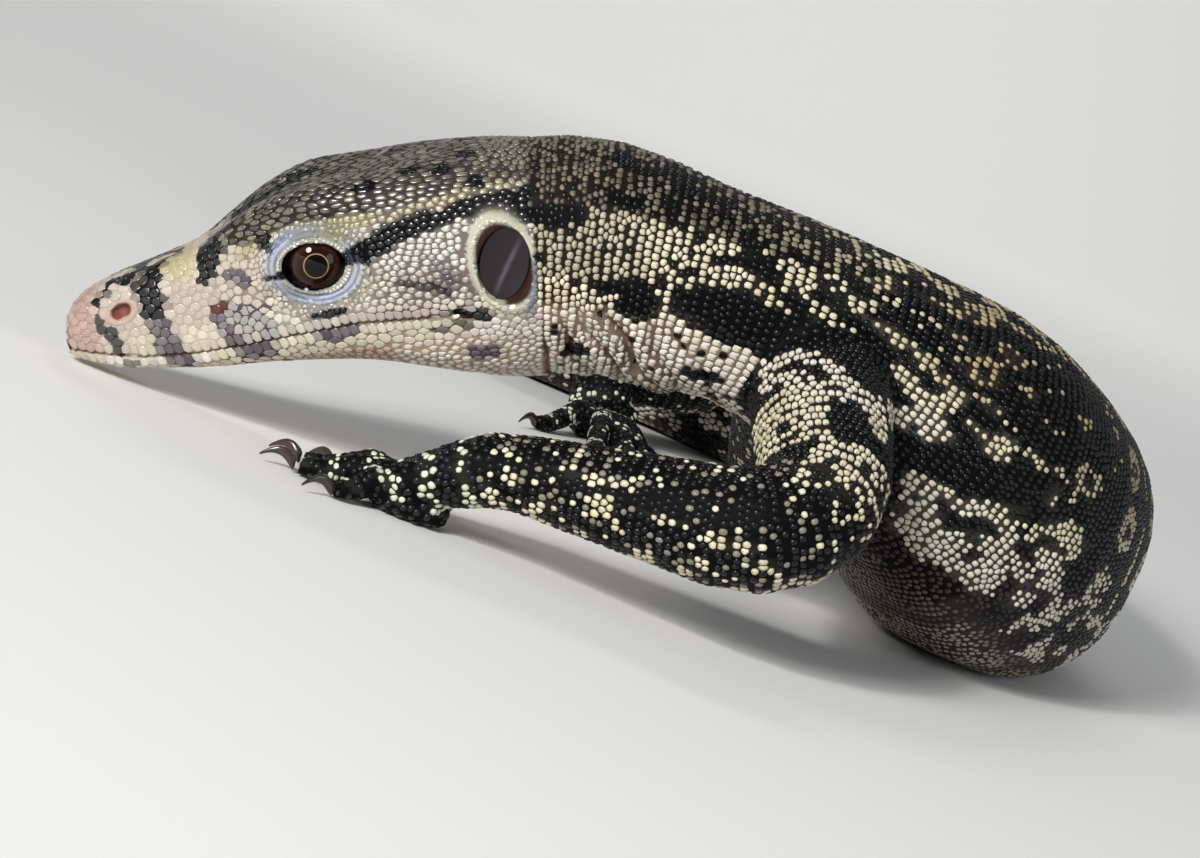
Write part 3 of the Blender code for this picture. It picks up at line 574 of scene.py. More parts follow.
def trunk_colours(length, angle, points, chance):
    """Colours of places on the neck, trunk and tail, and how pale each is."""
    right = np.abs(np.degrees(angle)) > 90
    up = rise_of(angle)
    s = np.where(right, length - 1.6, length) + 0.35 * field(points, 2.2, 3.1)
    t = up + 2.2 * field(points, 2.6, 9.4)
    neck = s < NECK_END
    torso = (s >= NECK_END) & (s < TORSO_END)
    tail = s >= TORSO_END
    pale = np.zeros(len(s))
    tone = laid(YELLOW, [
        (CREAM, 0.5 + 0.9 * field(points, 4.0, 5.5)),
        # Darker tan on the back and the middle of the flank: partly the skin's own tan, partly painted shade
        # away from the light.
        (TAN, soft(s, 30, 46) * soft(t, 8, 34) * 0.8),
        (TAN, soft(s, 48, 60) * soft(t, -4, 14) * 0.5),
        ("#cfc8bb", soft(-t, 12, 30) * soft(s, 44, 50) * (s < 200) * 0.75),
    ])

    brown = mix(linear("#857b64"), linear("#4b453a"), (chance * 7.3) % 1)
    pale_upper = neck & (t > 42) & (chance > 0.12 + 0.34 * soft(s, 4, 20))
    pale_upper &= (s < 7) | (field(points, 3.2, 1.0) < 0.3)
    middle = neck & (t <= 42) & (t > 9 + 0.2 * (s - 16))
    middle &= (s < 16) | (field(points, 2.3, 7.7) > -0.12 + 0.012 * (s - 16))
    dark_behind_ear = neck & (s < 5.0) & (t > 32) & (t < 43) & (chance > 0.3)
    knots, lows, tops = zip(*SIDE_BAND)
    band_low = np.interp(s, knots, lows)
    lateral = (s > 15.2) & (s < 42) & (t < np.interp(s, knots, tops)) & (t > band_low)
    lower = neck & ((t <= np.minimum(band_low, 9)) | ((s < 15.2) & (t <= 9)))
    pale = np.where(pale_upper, 0.8, pale)
    pale = np.where(middle & (chance > 0.1), 0.95, pale)
    pale = np.where(lower & (chance > 0.05), 1.0, pale)
    dark = blotches(s, t, NECK_BLACKS) < 1 + 0.25 * field(points, 1.5, 2.0)
    pale = np.where(neck & (dark | dark_behind_ear | lateral), 0.0, pale)
    # Painted shade: how deep each place lies in the groove of a throat or neck fold, for darkening it.
    fold_shade = np.zeros(len(s))
    for run, depth in fold_runs(length, up):
        fold_shade = np.maximum(fold_shade, depth * bump(run, 0.1, 0.8))
    blush = soft(field(points, 3.0, 4.0), 0.1, 0.5) * soft(9 - s, 0, 9)
    tone = laid(tone, [
        (mix(brown, YELLOW, soft(s, 18, 36) * 0.7), pale_upper),
        ("#a0967f", (middle & (s < 14)) * 0.8 * soft(17 - s, 0, 12)),
        (WHITE, lower * soft(-t, -5, 25)),
        ("#b98f6e", lower * 0.6 * blush),
        # Painted shade, brown, in the grooves of the folds.
        ("#745848", lower * fold_shade * 0.6),
        ("#c08c62", lower * bump(s - 0.05 * (up + 30), -0.4, 0.7) * soft(-up, 5, 20) * 0.8),
    ])

    ring_gap = blotches(s, t, TRUNK_RINGS)
    ring = (ring_gap < 1.05) & ~((ring_gap < 0.45) & (chance < 0.9))
    marks = (blotches(s, t, TRUNK_BLOTCHES) < 1 + 0.2 * soft(-t, 8, 16)) | ring
    crest = (t > 66) & (field(points, 2.4, 6.1) > 0.06)
    strewn = (t > 16) & (chance > 0.955)
    seen = torso & (s < SEEN_END)
    pale = np.where(seen & (marks | crest | strewn) & (chance > 0.04), 1.0, pale)
    row = (s - SEEN_END) / ROW_STEP
    share = row % 1
    centre = np.where(np.floor(row) % 2 == 0, 12.0, 24.0)
    across = (t - centre) / SPOT_STEP
    spot = np.hypot((share - 0.42) * ROW_STEP / 2.5, ((across + 0.5) % 1 - 0.5) * SPOT_STEP / 9.5)
    spot += 0.12 * field(points, 1.6, 8.0)
    ocelli = (spot < 1.0) & ~((spot < 0.45) & (chance < 0.9))
    between = (np.abs(share - 0.92) < 0.055) & (field(points, 3.0, 12.0) > -0.05)
    rear = torso & (s >= SEEN_END) & (t > -24)
    pale = np.where(rear & (ocelli | between) & (chance > 0.06), 1.0, pale)
    flank = torso & (s >= 67) & (t <= -24) & (t > BELLY)
    pale = np.where(flank & (field(points, 3.4, 15.0) > 0.02), 0.9, pale)
    belly = (s >= 52) & (s < 205) & (t <= BELLY)
    bars = 0.5 + 0.5 * np.sin(s * 0.62 + 2.4 * field(points, 8.0, 2.2))
    belly_tone = mix(linear("#a79f8e"), linear("#3c3735"), soft(bars, 0.62, 0.95) * 0.8)
    pink = torso & (s > 47) & (s < 63) & (t < -30) & ~marks

    edge = (s - TORSO_END) / BAND_STEP % 1 + 0.05 * field(points, 2.5, 3.3)
    bands = (edge < 0.2) | ((edge > 0.28) & (edge < 0.34) & (chance > 0.35))
    bands |= (edge > 0.62) & (edge < 0.68) & (chance > 0.5)
    pale = np.where(tail & bands, 0.95, pale)
    tone = mix(tone, linear("#a79f8e"), (tail & (t < -20)) * 0.6)
    colour = laid(BLACK, [
        (tone, pale),
        (belly_tone, belly * 0.9 * soft(-t, 50, 62)),
        ("#3f2a27", pink * 0.75 * soft(-t, 30, 42) * soft(70 - s, 0, 12)),
    ])
    return uneven(colour, chance), pale


ARM_BLOTCHES = [
    (41.3, 178, 1.2, 14), (41.8, 196, 1.3, 9), (33.0, 204, 1.3, 10), (36.6, 180, 0.9, 9),
    (37.6, 204, 1.0, 9), (36.0, 236, 1.4, 8), (40.2, 226, 1.3, 7), (46.4, 224, 1.4, 7), (50.4, 215, 1.2, 9),
    (54.2, 180, 0.9, 13), (54.7, 200, 0.7, 8), (59.6, 157, 1.0, 17), (46.0, 126, 1.2, 8),
    (48.0, 100, 3.8, 5), (38.6, 124, 2.6, 5), (29.6, 180, 0.9, 8), (33.4, 132, 1.8, 6), (44.4, 150, 0.8, 8),
    (52.0, 150, 0.9, 7), (56.6, 128, 1.1, 8), (31.2, 152, 0.8, 8), (35.0, 160, 0.7, 7), (57.0, 228, 0.8, 9),
    (43.8, 206, 0.7, 7), (48.2, 176, 0.8, 7), (27.2, 196, 1.0, 8), (25.4, 172, 1.0, 9),
]
SHOULDER_BLACKS = [(17.0, 25, 0.9, 7), (18.8, 30, 0.5, 14)]
SHOULDER_PALES = [(14.5, 118, 2.6, 13), (10.5, 140, 2.2, 12)]


def leg_colours(name, length, angle, points, chance):
    """Colours of places on a leg: black with cream-yellow spots, the shoulder pale in large patches."""
    pale = np.where((field(points, 1.9, 21.0) > 0.34) & (chance > 0.08), 1.0, 0.0)
    pale = np.where(chance > 0.93, 0.8, pale)
    if name == "foreleg_left":
        s = length + 0.35 * field(points, 1.8, 3.0)
        t = np.degrees(angle) % 360 + 5.0 * field(points, 2.0, 6.0)
        marks = blotches(s, t, ARM_BLOTCHES) < 1.2
        single = (chance > 0.76) | ((chance > 0.6) & (field(points, 2.6, 4.0) > 0.12))
        pale = np.where((s > 26) & (marks | single), np.where(marks | (chance > 0.9), 1.0, 0.3), 0.0)
        shoulder = (s > 11.0) & (s <= 20) & ((t < 68) | (t > 335))
        shoulder &= blotches(s, t, SHOULDER_BLACKS) >= 1
        rows = (s > 17.6 + 2.2 * soft(t, 60, 75)) & (s <= 27) & (t > 55) & (t < 175)
        rows &= chance > 0.12 + 0.045 * np.maximum(s - 20, 0) + 0.003 * (t - 55)
        behind = blotches(s, t, SHOULDER_PALES) < 1
        pale = np.where((s <= 27) & (shoulder | rows | behind), 1.0, pale)
        pale = np.where((s <= 17) & ~(shoulder | behind), 0.0, pale)
    tone = mix(YELLOW, CREAM, 0.5 + 0.8 * field(points, 3.0, 8.0))
    return uneven(mix(BLACK, tone, pale), chance), pale


def foot_colours(length, points, chance):
    """Colours of places on palms, soles and toes: blue-black with pale cross bands."""
    bands = (np.sin(length * 1.55 + 1.2 * field(points, 2.0, 2.0)) > 0.45) & (chance > 0.12)
    pale = np.where(bands & (points[:, 2] > 1.2), 1.0, 0.0)
    under = 0.55 * soft(1.0 - points[:, 2], 0, 0.6)
    colour = laid(linear("#16161c"), [("#4a453f", under), ("#d3d6bb", pale)])
    return uneven(colour, chance), pale


# Lines of (forward, up, half width) knots in the skull's frame, and how black each is.
FACE_BLACKS = [
    ([(20.0, 4.8, 0.75), (17.6, 5.5, 1.1), (15.0, 7.0, 1.3), (11.5, 8.2, 1.0), (8.2, 8.9, 0.85),
      (5.4, 9.5, 0.9), (1.8, 9.2, 1.6), (-1, 8.8, 1.8)], 1.0),
    ([(49.0, 1.6, 0.35), (47.6, 1.5, 0.5), (48.4, -0.1, 0.35), (48.3, -1.9, 0.35), (46.9, -3.2, 0.6),
      (46.2, -5.2, 0.5)], 0.9),
    ([(45.8, -6.7, 0.6), (45.0, -6.7, 0.5)], 0.7),
    ([(43.0, 3.9, 1.6), (42.4, 2.4, 1.9), (41.8, -0.2, 1.3), (41.6, -2.0, 1.1)], 1.0),
    ([(35.2, 5.4, 1.5), (35.3, 3.6, 1.0), (35.9, 2.8, 0.8)], 1.0),
    ([(29.4, 7.1, 0.55), (28.3, 6.4, 0.55)], 0.9),
    ([(24.0, -1.35, 0.35), (20.6, -0.75, 0.35)], 1.0),
    ([(28.6, 2.8, 0.2), (27.0, 3.4, 0.5)], 1.0),
    ([(8.6, -1.5, 0.45), (5.6, -1.9, 0.8)], 1.0),
    ([(11.6, -3.3, 0.3), (7.6, -3.0, 0.45)], 0.75),
    ([(14.4, 1.9, 0.35), (10.4, 1.4, 0.6), (9.2, 0.6, 0.4)], 0.85),
    ([(10.6, 3.8, 0.4), (8.9, 2.8, 0.7), (8.0, 1.2, 0.6)], 0.5),
    ([(12.6, 4.9, 0.25), (10.6, 4.6, 0.3)], 0.35),
]
# Spots on the crown and the bridge of the snout: forward, aside, up and size.
CROWN_SPOTS = [
    (30.6, 0.3, 9.2, 1.5), (32.2, 0.8, 8.2, 1.0), (29.2, 0.8, 9.8, 1.0), (25.6, 2.3, 11.2, 1.4),
    (27.2, 1.4, 10.6, 1.1), (24.0, 2.6, 11.7, 1.1), (34.3, 4.7, 5.8, 1.2), (33.4, 3.4, 7.2, 1.2),
    (34.4, 2.4, 6.6, 1.1), (35.3, 5.2, 4.3, 0.9), (28.4, 7.6, 7.0, 0.8), (29.2, 7.0, 6.9, 0.5),
    (43.6, 1.1, 3.3, 1.2), (42.1, 2.4, 3.5, 1.2), (40.9, 1.7, 4.2, 1.1), (44.8, 2.4, 2.5, 0.9),
    (41.6, 3.8, 2.6, 1.1), (39.4, 0.8, 4.9, 0.9), (47.2, 2.7, 1.6, 0.8), (46.4, 1.4, 2.4, 0.8),
    (48.3, 3.4, 0.3, 0.5), (18.0, 7.6, 11.6, 0.9), (16.6, 7.4, 11.9, 1.0), (12.4, 6.0, 12.6, 1.1),
    (14.6, 3.2, 13.4, 0.9), (9.0, 6.4, 12.8, 1.1), (6.4, 3.4, 13.4, 1.3), (5.2, 8.2, 11.6, 1.0),
    (21.4, 5.6, 11.6, 0.8), (19.6, 1.4, 13.0, 0.9),
]


def darkness(x, z, marks, mottle):
    """How black a place is, from a list of lines with their strengths."""
    dark = np.zeros(len(x))
    for knots, strength in marks:
        dark = np.maximum(dark, strength * soft(1.3 - stripe(x, z, knots) + 0.3 * mottle, 0.15, 0.4))
    return dark


def spotted(x, y, z, mottle):
    """How black a place on the crown or the bridge of the snout is."""
    dark = np.zeros(len(x))
    for across, aside, high, size in CROWN_SPOTS:
        away = np.sqrt((x - across) ** 2 + (np.abs(y) - aside) ** 2 + (z - high) ** 2) / size
        dark = np.maximum(dark, soft(1.15 - away + 0.35 * mottle, 0.0, 0.3))
    return dark


BROW_LINE = [
    (31.5, 5.4, 0.7), (28.6, 7.0, 0.6), (25, 8.2, 0.7), (20, 8.7, 0.75), (15, 9.0, 0.55), (11.5, 9.7, 0.55),
    (9.3, 10.2, 0.65), (6, 10.7, 0.8), (3.0, 10.8, 0.9), (1, 10.2, 0.8),
]
VIOLET_LINES = [
    [(41.5, -2.6, 1.3), (40.9, -4.2, 1.5), (39.9, -5.6, 1.3), (38.9, -6.8, 1.0)],
    [(34.6, -1.6, 0.8), (33.4, -3.6, 0.9), (31.6, -5.2, 1.0), (29.4, -5.4, 1.0)],
    [(23.0, -3.4, 0.9), (20.0, -3.0, 0.9)],
    [(7.4, -6.6, 0.8), (4.9, -6.7, 0.8)],
    [(33.0, 3.0, 0.8), (31.0, 2.4, 0.7)],
]
GREY_LINE = [(33.4, -0.6, 1.0), (31.2, -1.6, 1.3), (29.4, -2.8, 1.0)]
RED_LINE = [(35.0, -0.5, 0.5), (33.8, -0.5, 0.5)]
LOWER_LIP_EDGE = [
    (4, -2.3), (8, -3.5), (10, -4.0), (15, -4.6), (20, -5.2), (25, -5.9), (30, -6.4), (36, -6.9), (44, -7.2),
]


def head_colours(head, points, chance):
    """Colours of places on the head, each side alike."""
    x, y, z = head.T
    x = x + 0.22 * field(points, 1.1, 1.7)
    z = z + 0.22 * field(points, 1.1, 8.3)
    side = soft(np.abs(y), 1.5, 4.0)
    on_side = side * (np.abs(y) > 4)
    by_ear = np.abs(y) > 7
    mottle = field(points, 1.5, 4.4)
    streak = field(head * np.array([0.30, 1.1, 1.1]), 1.0, 5.2)
    above = z - mouth_height(x)
    temple = soft(18.5 - x, 0, 3) * soft(z, -0.8, 0.2)
    snout_tone = mix(linear("#a39b82"), linear("#6a6557"), 0.3 + 1.6 * streak)
    lower_edge = np.interp(x, *zip(*LOWER_LIP_EDGE))
    lips = soft(-above, -0.1, 0.25) * soft(z - lower_edge, -0.3, 0.2) * soft(x, 5.5, 8)
    upper_lips = soft(x, 33.5, 35) * soft(47 - x, 0, 3) * soft(3.2 - above, 0, 0.8)
    throat_tone = mix(linear("#ded7cf"), linear("#c4b19f"), 0.2 + mottle)
    crown_tone = laid(linear("#817d6d"), [
        ("#484640", 0.35 + 1.5 * streak),
        ("#a19980", soft(field(points, 1.7, 9.9), 0.15, 0.4) * 0.85),
        ("#857d68", soft(7.5 - x, 0, 5) * (chance > 0.4) * 0.85),
    ])
    brow = stripe(x, z, BROW_LINE)
    out = eye_oval(x, z)
    lid = soft(1.72 - out, 0, 0.15) * on_side
    blue = np.maximum(soft(3.2 - z, 0, 3), soft(x, 24, 27) * soft(z, 4.6, 6.0))
    colour = laid(linear("#c6bfae"), [
        ("#9b9389", 0.25 + 1.1 * mottle),
        ("#b9ab9d", soft(x, 27, 31) * 0.8),
        ("#b09d94", soft(x, 33, 35) * soft(41 - x, 0, 2) * soft(z, -2.2, -1.0) * soft(2.4 - z, 0, 1) * 0.55),
        ("#b3a67e", soft(x, 36, 38) * soft(41.5 - x, 0, 1.5) * soft(z, 2.2, 3.2) * 0.9),
        ("#c9c6bd", temple * soft(z, 2.4, 4.2) * 0.85),
        ("#8a7c78", temple * bump(z, 1.9, 0.7) * soft(15.5 - x, 0, 2) * 0.75),
        ("#6b5f66", temple * bump(x, 9.0, 1.6) * soft(4.4 - z, 0, 2) * (0.35 + 0.9 * mottle)),
        ("#b3a29c", soft(x, 8.5, 11) * soft(27 - x, 0, 3) * bump(z, -1.3, 0.75) * 0.8),
        (snout_tone, soft(z - crown_height(x), -0.3, 0.3) * soft(x, 30, 33)),
        ("#ad9083", soft(x, 47.2, 49.6) * 0.9),
        ("#cbc2ac", np.maximum(lips, upper_lips * 0.7)),
        ("#d6cecb", bump(above, -0.62, 0.4) * soft(x, 35, 37) * soft(50 - x, 0, 3) * 0.8),
        ("#bb9a80", soft(lower_edge - z, -0.2, 0.5) * soft(x, 14, 17) * 0.9),
        (throat_tone, soft(lower_edge - z, -0.15, 0.3) * soft(16.5 - x, 0, 2.5)),
        (crown_tone, soft(z - crown_height(x), -0.25, 0.25) * (x < 34)),
        ("#aba282", side * soft(1.5 - brow, 0.2, 0.8)),
        ("#b4b5b0", lid * 0.85),
        # Bluish on the lid fold ridges: partly the lids' own blue-grey, partly a painted highlight.
        ("#a9b1cc", lid * bump(out, 1.36, 0.17) * (0.35 + 0.65 * blue)),
        # Painted shade: darker lines in the grooves of the lid folds.
        ("#7e7a6a", lid * (bump(out, 1.21, 0.03) + bump(out, 1.40, 0.03)) * 0.5),
        ("#a7a27e", lid * soft(z, 6.3, 7.0) * soft(24 - x, 0, 3) * 0.8),
        ("#cfcdbf", bump(out, 1.09, 0.08) * on_side),
    ])
    dark = np.maximum(darkness(x, z, FACE_BLACKS, mottle) * side, spotted(x, y, z, mottle))
    violet = np.zeros(len(x))
    for knots in VIOLET_LINES:
        violet = np.maximum(violet, soft(1.3 - stripe(x, z, knots) + 0.2 * mottle, 0.1, 0.4))
    grey = soft(1.4 - stripe(x, z, GREY_LINE), 0, 0.3) * side * (1 - violet)
    from_ear = ear_oval(x, z)
    # Painted shade: the rim behind and below the ear is made bluish grey.
    behind_ear = by_ear * soft(1.9 - from_ear, 0, 0.5) * soft(1.8 - x, 0, 1.5) * soft(5.0 - z, 0, 3)
    nose = nose_oval(x, z)
    colour = laid(colour, [
        (BLACK, dark),
        (mix(GREYVIOLET, linear("#77706f"), chance), violet * side),
        ("#979690", grey * 0.9),
        ("#54230f", side * soft(1.3 - stripe(x, z, RED_LINE), 0, 0.2)),
        ("#cfcab4", by_ear * bump(from_ear, 1.24, 0.2)),
        ("#6d748c", behind_ear * 0.75),
        ("#bb9f91", side * bump(nose, 1.5, 0.35) * 0.8),
        ("#7a463a", side * soft(1.2 - nose, 0, 0.25)),
    ])
    pale_spot = (np.hypot((x - 15.5) / 0.7, (z - 14.0) / 0.5) < 1) & (y > 0)
    colour = np.where(pale_spot[:, None], linear("#cfc79c"), colour)
    shaded = soft(z - crown_height(x), -0.4, 0.6) * soft(34 - x, 0, 2)
    colour = colour * ((0.9 + 0.2 * chance) * (1 - 0.36 * shaded))[:, None]
    return colour, np.clip(1 - dark - violet, 0, 1)


def gap_colours(places, points, colour, pale):
    """Colours of the hide between the scales: nearly black, but brown on the throat and pale on the face."""
    region, length, angle, head = places
    x, y, z = head.T
    up = rise_of(angle)
    on_trunk = region == 0
    low_neck = on_trunk & (length < NECK_END)
    brown = mix(linear("#6b564a"), linear("#a08b79"), 0.4 + field(points, 2.5, 3.0))
    gap = laid(colour * 0.025 + linear("#060506") * 0.6, [
        (colour * 0.25, pale * 0.25 * (on_trunk & (length > NECK_END))),
        (brown, low_neck * pale * soft(-up, 2, 14)),
        ("#211b18", low_neck * pale * soft(up, -8, 0) * soft(14 - length, 0, 12)),
        ("#3a3330", (on_trunk & (length > 60)) * soft(-up, 40, 55) * 0.7),
    ])
    above = z - mouth_height(x)
    light = pale > 0.4
    face = laid(colour * 0.55, [
        (linear("#6e5d5c") * 0.8, soft(18.5 - x, 0, 3) * soft(z, -2.6, -1.4) * light * 0.8),
        ("#94846c", soft(-above, 0, 0.4) * (x > 6) * light * 0.85),
        ("#b0957a", soft(-z, 4.2, 5.0) * (x < 16) * light * 0.9),
        ("#4a3a45", soft(x, 28, 29) * soft(35 - x, 0, 1) * soft(0.4 - z, 0, 0.5) * 0.8),
        (colour, soft(x, 33, 36) * light * 0.72),
        ("#0d0c0a", soft(z - crown_height(x), -0.2, 0.3) * (x < 33) * 0.66),
        # Painted shade: a brown line along the groove of the mouth.
        ("#5f4033", (x > 7) * bump(above, 0, 0.12) * 0.8),
    ])
    out = eye_oval(x, z)
    # Painted shade: the bare lid is darkened blue-grey in the grooves of its folds.
    folds = bump(out, 1.21, 0.04) + bump(out, 1.40, 0.04) + bump(out, 1.60, 0.04)
    face = np.where(bare_lid(x, y, z)[:, None], mix(colour, linear("#5d5f7a"), folds * 0.6), face)
    nose = (nose_oval(x, z) < 1.7) & (np.abs(y) > 1.5)
    face = np.where(nose[:, None], colour, face)
    from_ear = ear_oval(x, z)
    ear = (from_ear < 1.4) & (np.abs(y) > 7)
    cup = mix(colour * 0.8, linear("#38241f"), soft(1.12 - from_ear, 0, 0.1))
    face = np.where(ear[:, None], cup, face)
    return np.where((region == HEAD)[:, None], face, gap)


def place_on(name, at, degrees):
    """The place on the skin at a length and an angle of a middle line."""
    line = lines[name]
    row = min(int(np.searchsorted(line["at"], at)), len(line["at"]) - 1)
    turn = math.radians(degrees)
    radius = expected_radius(line["sizes"][row:row + 1], np.array([turn]))[0]
    ray = line["side"][row] * math.cos(turn) + line["up"][row] * math.sin(turn)
    return np.array(surface.find_nearest(Vector(line["place"][row] + ray * radius))[0])


SHOULDER_BANDS = [
    [("foreleg_left", 6.5, 24), ("foreleg_left", 6.5, 42), ("foreleg_left", 7.8, 60),
     ("foreleg_left", 9.5, 75), ("foreleg_left", 11, 88), ("foreleg_left", 13, 103),
     ("trunk", 41, -3), ("trunk", 44, 1)],
    [("trunk", 17, -20), ("trunk", 22, -21), ("trunk", 24, -20), ("foreleg_left", 8.4, 12),
     ("foreleg_left", 9.8, 40), ("foreleg_left", 11.4, 60), ("foreleg_left", 12.8, 80),
     ("trunk", 41.5, -6), ("trunk", 44.5, -3)],
]
BAND_HALF = 1.15


def on_bands(points):
    """How near each place lies to the cream bands over the shoulder: below 1 is on a band."""
    nearest = np.full(len(points), 9.0)
    for band in SHOULDER_BANDS:
        knots = [place_on(*knot) for knot in band]
        for one, other in zip(knots, knots[1:]):
            run = other - one
            share = np.clip(((points - one) @ run) / (run @ run), 0, 1)
            away = np.linalg.norm(points - one - share[:, None] * run, axis=1)
            nearest = np.minimum(nearest, away / BAND_HALF)
    return nearest + 0.35 * field(points, 1.6, 14.0)


def markings(places, points, chance):
    """Linear colour of every place, and how pale it is."""
    region, length, angle, head = places
    colour = np.zeros((len(points), 3))
    pale = np.zeros(len(points))
    for index in np.unique(region):
        here = region == index
        if index == HEAD:
            made = head_colours(head[here], points[here], chance[here])
        elif index == 0:
            made = trunk_colours(length[here], angle[here], points[here], chance[here])
        elif "toe" in line_names[index]:
            made = foot_colours(length[here], points[here], chance[here])
        else:
            made = leg_colours(line_names[index], length[here], angle[here], points[here], chance[here])
            foot = length[here] > wrists[line_names[index]] + 1
            band = foot_colours(length[here], points[here], chance[here])
            made = (np.where(foot[:, None], band[0], made[0]), np.where(foot, band[1], made[1]))
        colour[here], pale[here] = made
    band = (on_bands(points) < 1) & (region != HEAD) & (chance > 0.06)
    colour = np.where(band[:, None], mix(WHITE, CREAM, chance) * 0.92, colour)
    return colour, np.where(band, 1.0, pale)


# The scales: horny beads and plates set in the skin in rows, oval on the neck and trunk, lens-shaped on
# the crown, smooth many-sided plates on the snout and lips, small granules round the eye. Each is grown
# out to its neighbours from a place on the skin, never far past its own size, so dark hide shows between.
rng = np.random.default_rng(7)

# Length along the trunk, then half length, half width and height of a scale there.
TRUNK_SCALES = [
    (0, 0.33, 0.40, 0.24), (10, 0.36, 0.41, 0.25), (18, 0.42, 0.41, 0.27), (33, 0.50, 0.41, 0.26),
    (45, 0.46, 0.38, 0.24), (110, 0.46, 0.39, 0.24), (150, 0.56, 0.48, 0.26), (196, 0.68, 0.52, 0.26),
    (300, 0.80, 0.56, 0.26), (450, 0.80, 0.46, 0.2), (640, 0.62, 0.34, 0.12),
]
LEG_SCALE = (0.5, 0.44, 0.26)
TOE_SCALE = (0.38, 0.44, 0.16)


def scale_size(places, points):
    """Half length, half width and height of the scale at each place, in millimetres."""
    region, length, angle, head = places
    up = rise_of(angle)
    on_trunk = region == 0
    sizes = np.tile(np.array(LEG_SCALE)[:, None], (1, len(points)))
    knots, *columns = np.array(TRUNK_SCALES).T
    sizes[:, on_trunk] = np.stack([np.interp(length[on_trunk], knots, column) for column in columns])
    belly = on_trunk & (up < -50)
    sizes[2, belly] = 0.13
    sizes[2, on_trunk & (length < NECK_END) & (up < -8)] = 0.16
    sizes[1, belly & (length > 40)] *= 1.2
    x, y, z = head.T
    side = np.abs(y) > 4
    from_eye = eye_oval(x, z)
    above = z - mouth_height(x)
    face = np.stack([
        np.where(x > 38, 0.54, np.where(x > 28, 0.50, 0.42)),
        np.where(x > 38, 0.48, np.where(x > 28, 0.44, 0.36)),
        np.where(x > 27, 0.055, 0.16),
    ])
    lips = (np.abs(above + 0.6) < 2.4) & (x > 6)
    temple = (x < 18) & (z > -0.9)
    throat = (above < -3.0) & (x < 28)
    granules = side & (from_eye < 2.0) & ~temple & (above > 1)
    lid_rim = side & (from_eye < 1.25)
    ear_rim = (np.abs(y) > 7) & (ear_oval(x, z) < 1.5)
    for here, size in (
        (lips, (0.58, 0.47, 0.07)),
        (temple, (0.46, 0.34, 0.2)),
        (throat, (0.5, 0.36, 0.15)),
        (granules, (0.28, 0.26, 0.1)),
        (lid_rim, (0.22, 0.20)),
        (ear_rim, (0.33, 0.27, 0.07)),
    ):
        face[:len(size), here] = np.array(size)[:, None]
    crown = (z > crown_height(x)) & (x < 33)
    back = soft(8.0 - x, 0, 7)
    face = np.where(crown, [0.70 - 0.3 * back, 0.31 + 0.15 * back, 0.13 + 0.10 * back], face)
    sizes = np.where(region == HEAD, face, sizes)
    toes = np.array(["toe" in n for n in line_names] + [False])[region]
    sizes[:, toes] = np.array(TOE_SCALE)[:, None]
    return sizes


# Places on the outline of a row, and how far the skin may lie past or short of it.
OUTLINE, PAST, SHORT = 96, 1.1, 2.2


def row_seeds(index):
    """Places in staggered rows round a middle line, where rays from the line meet the skin."""
    name = line_names[index]
    line = lines[name]
    first, last = (6.0, wrists[name] + 1.0) if index else (0.1, line["at"][-1] - 1.0)
    turn = np.linspace(0, 2 * math.pi, OUTLINE, endpoint=False) + math.pi / 2
    found = []
    at, number = first, 0
    while at < last:
        i = min(int(np.searchsorted(line["at"], at)), len(line["at"]) - 1)
        radius = expected_radius(np.tile(line["sizes"][i], (OUTLINE, 1)), turn)
        outline = np.stack([radius * np.cos(turn), radius * np.sin(turn)], axis=1)
        outline = np.vstack([outline, outline[:1]])
        run = np.concatenate([[0], np.cumsum(np.linalg.norm(np.diff(outline, axis=0), axis=1))])
        probe = np.array([line["place"][i] + line["up"][i] * radius[0]])
        place = (np.array([index]), np.array([at]), np.array([math.pi / 2]), in_skull(probe))
        long, wide, tall = scale_size(place, probe)
        pitch = 2.0 * wide[0] * 1.03
        count = max(6, 2 * round(run[-1] / pitch / 2))
        marks = (np.arange(count) + 0.5 * (number % 2)) / count * run[-1]
        marks = marks + rng.normal(0, 0.12 if index else 0.08, count)
        across = np.interp(marks, run, outline[:, 0])
        high = np.interp(marks, run, outline[:, 1])
        for a, h in zip(across, high):
            ray = unit(line["side"][i] * a + line["up"][i] * h)
            reach = math.hypot(a, h)
            start = line["place"][i] + line["heading"][i] * rng.normal(0, 0.07)
            hit, normal, face, distance = surface.ray_cast(Vector(start), Vector(ray))
            if hit is None or distance > reach + PAST or distance < reach - SHORT:
                continue
            if normal.dot(Vector(ray)) < 0.25:
                continue
            found.append((*hit, *normal))
        at += 2.0 * long[0] * (0.85 if index else 0.98)
        number += 1
    return np.array(found)


def strewn_seeds(count, keep):
    """Random places on the skin, evenly by area, that pass a test."""
    data = skin.data
    data.calc_loop_triangles()
    corners = np.empty(len(data.loop_triangles) * 3, np.int32)
    data.loop_triangles.foreach_get("vertices", corners)
    corners = corners.reshape(-1, 3)
    a, b, c = (skin_points[corners[:, k]] for k in range(3))
    areas = np.linalg.norm(np.cross(b - a, c - a), axis=1) * keep[corners[:, 0]]
    chosen = rng.choice(len(areas), count, p=areas / areas.sum())
    u, v = rng.random(count), rng.random(count)
    flip = u + v > 1
    u, v = np.where(flip, 1 - u, u)[:, None], np.where(flip, 1 - v, v)[:, None]
    spots = a[chosen] + (b - a)[chosen] * u + (c - a)[chosen] * v
    normals = unit(np.cross(b - a, c - a)[chosen])
    return np.hstack([spots, normals])


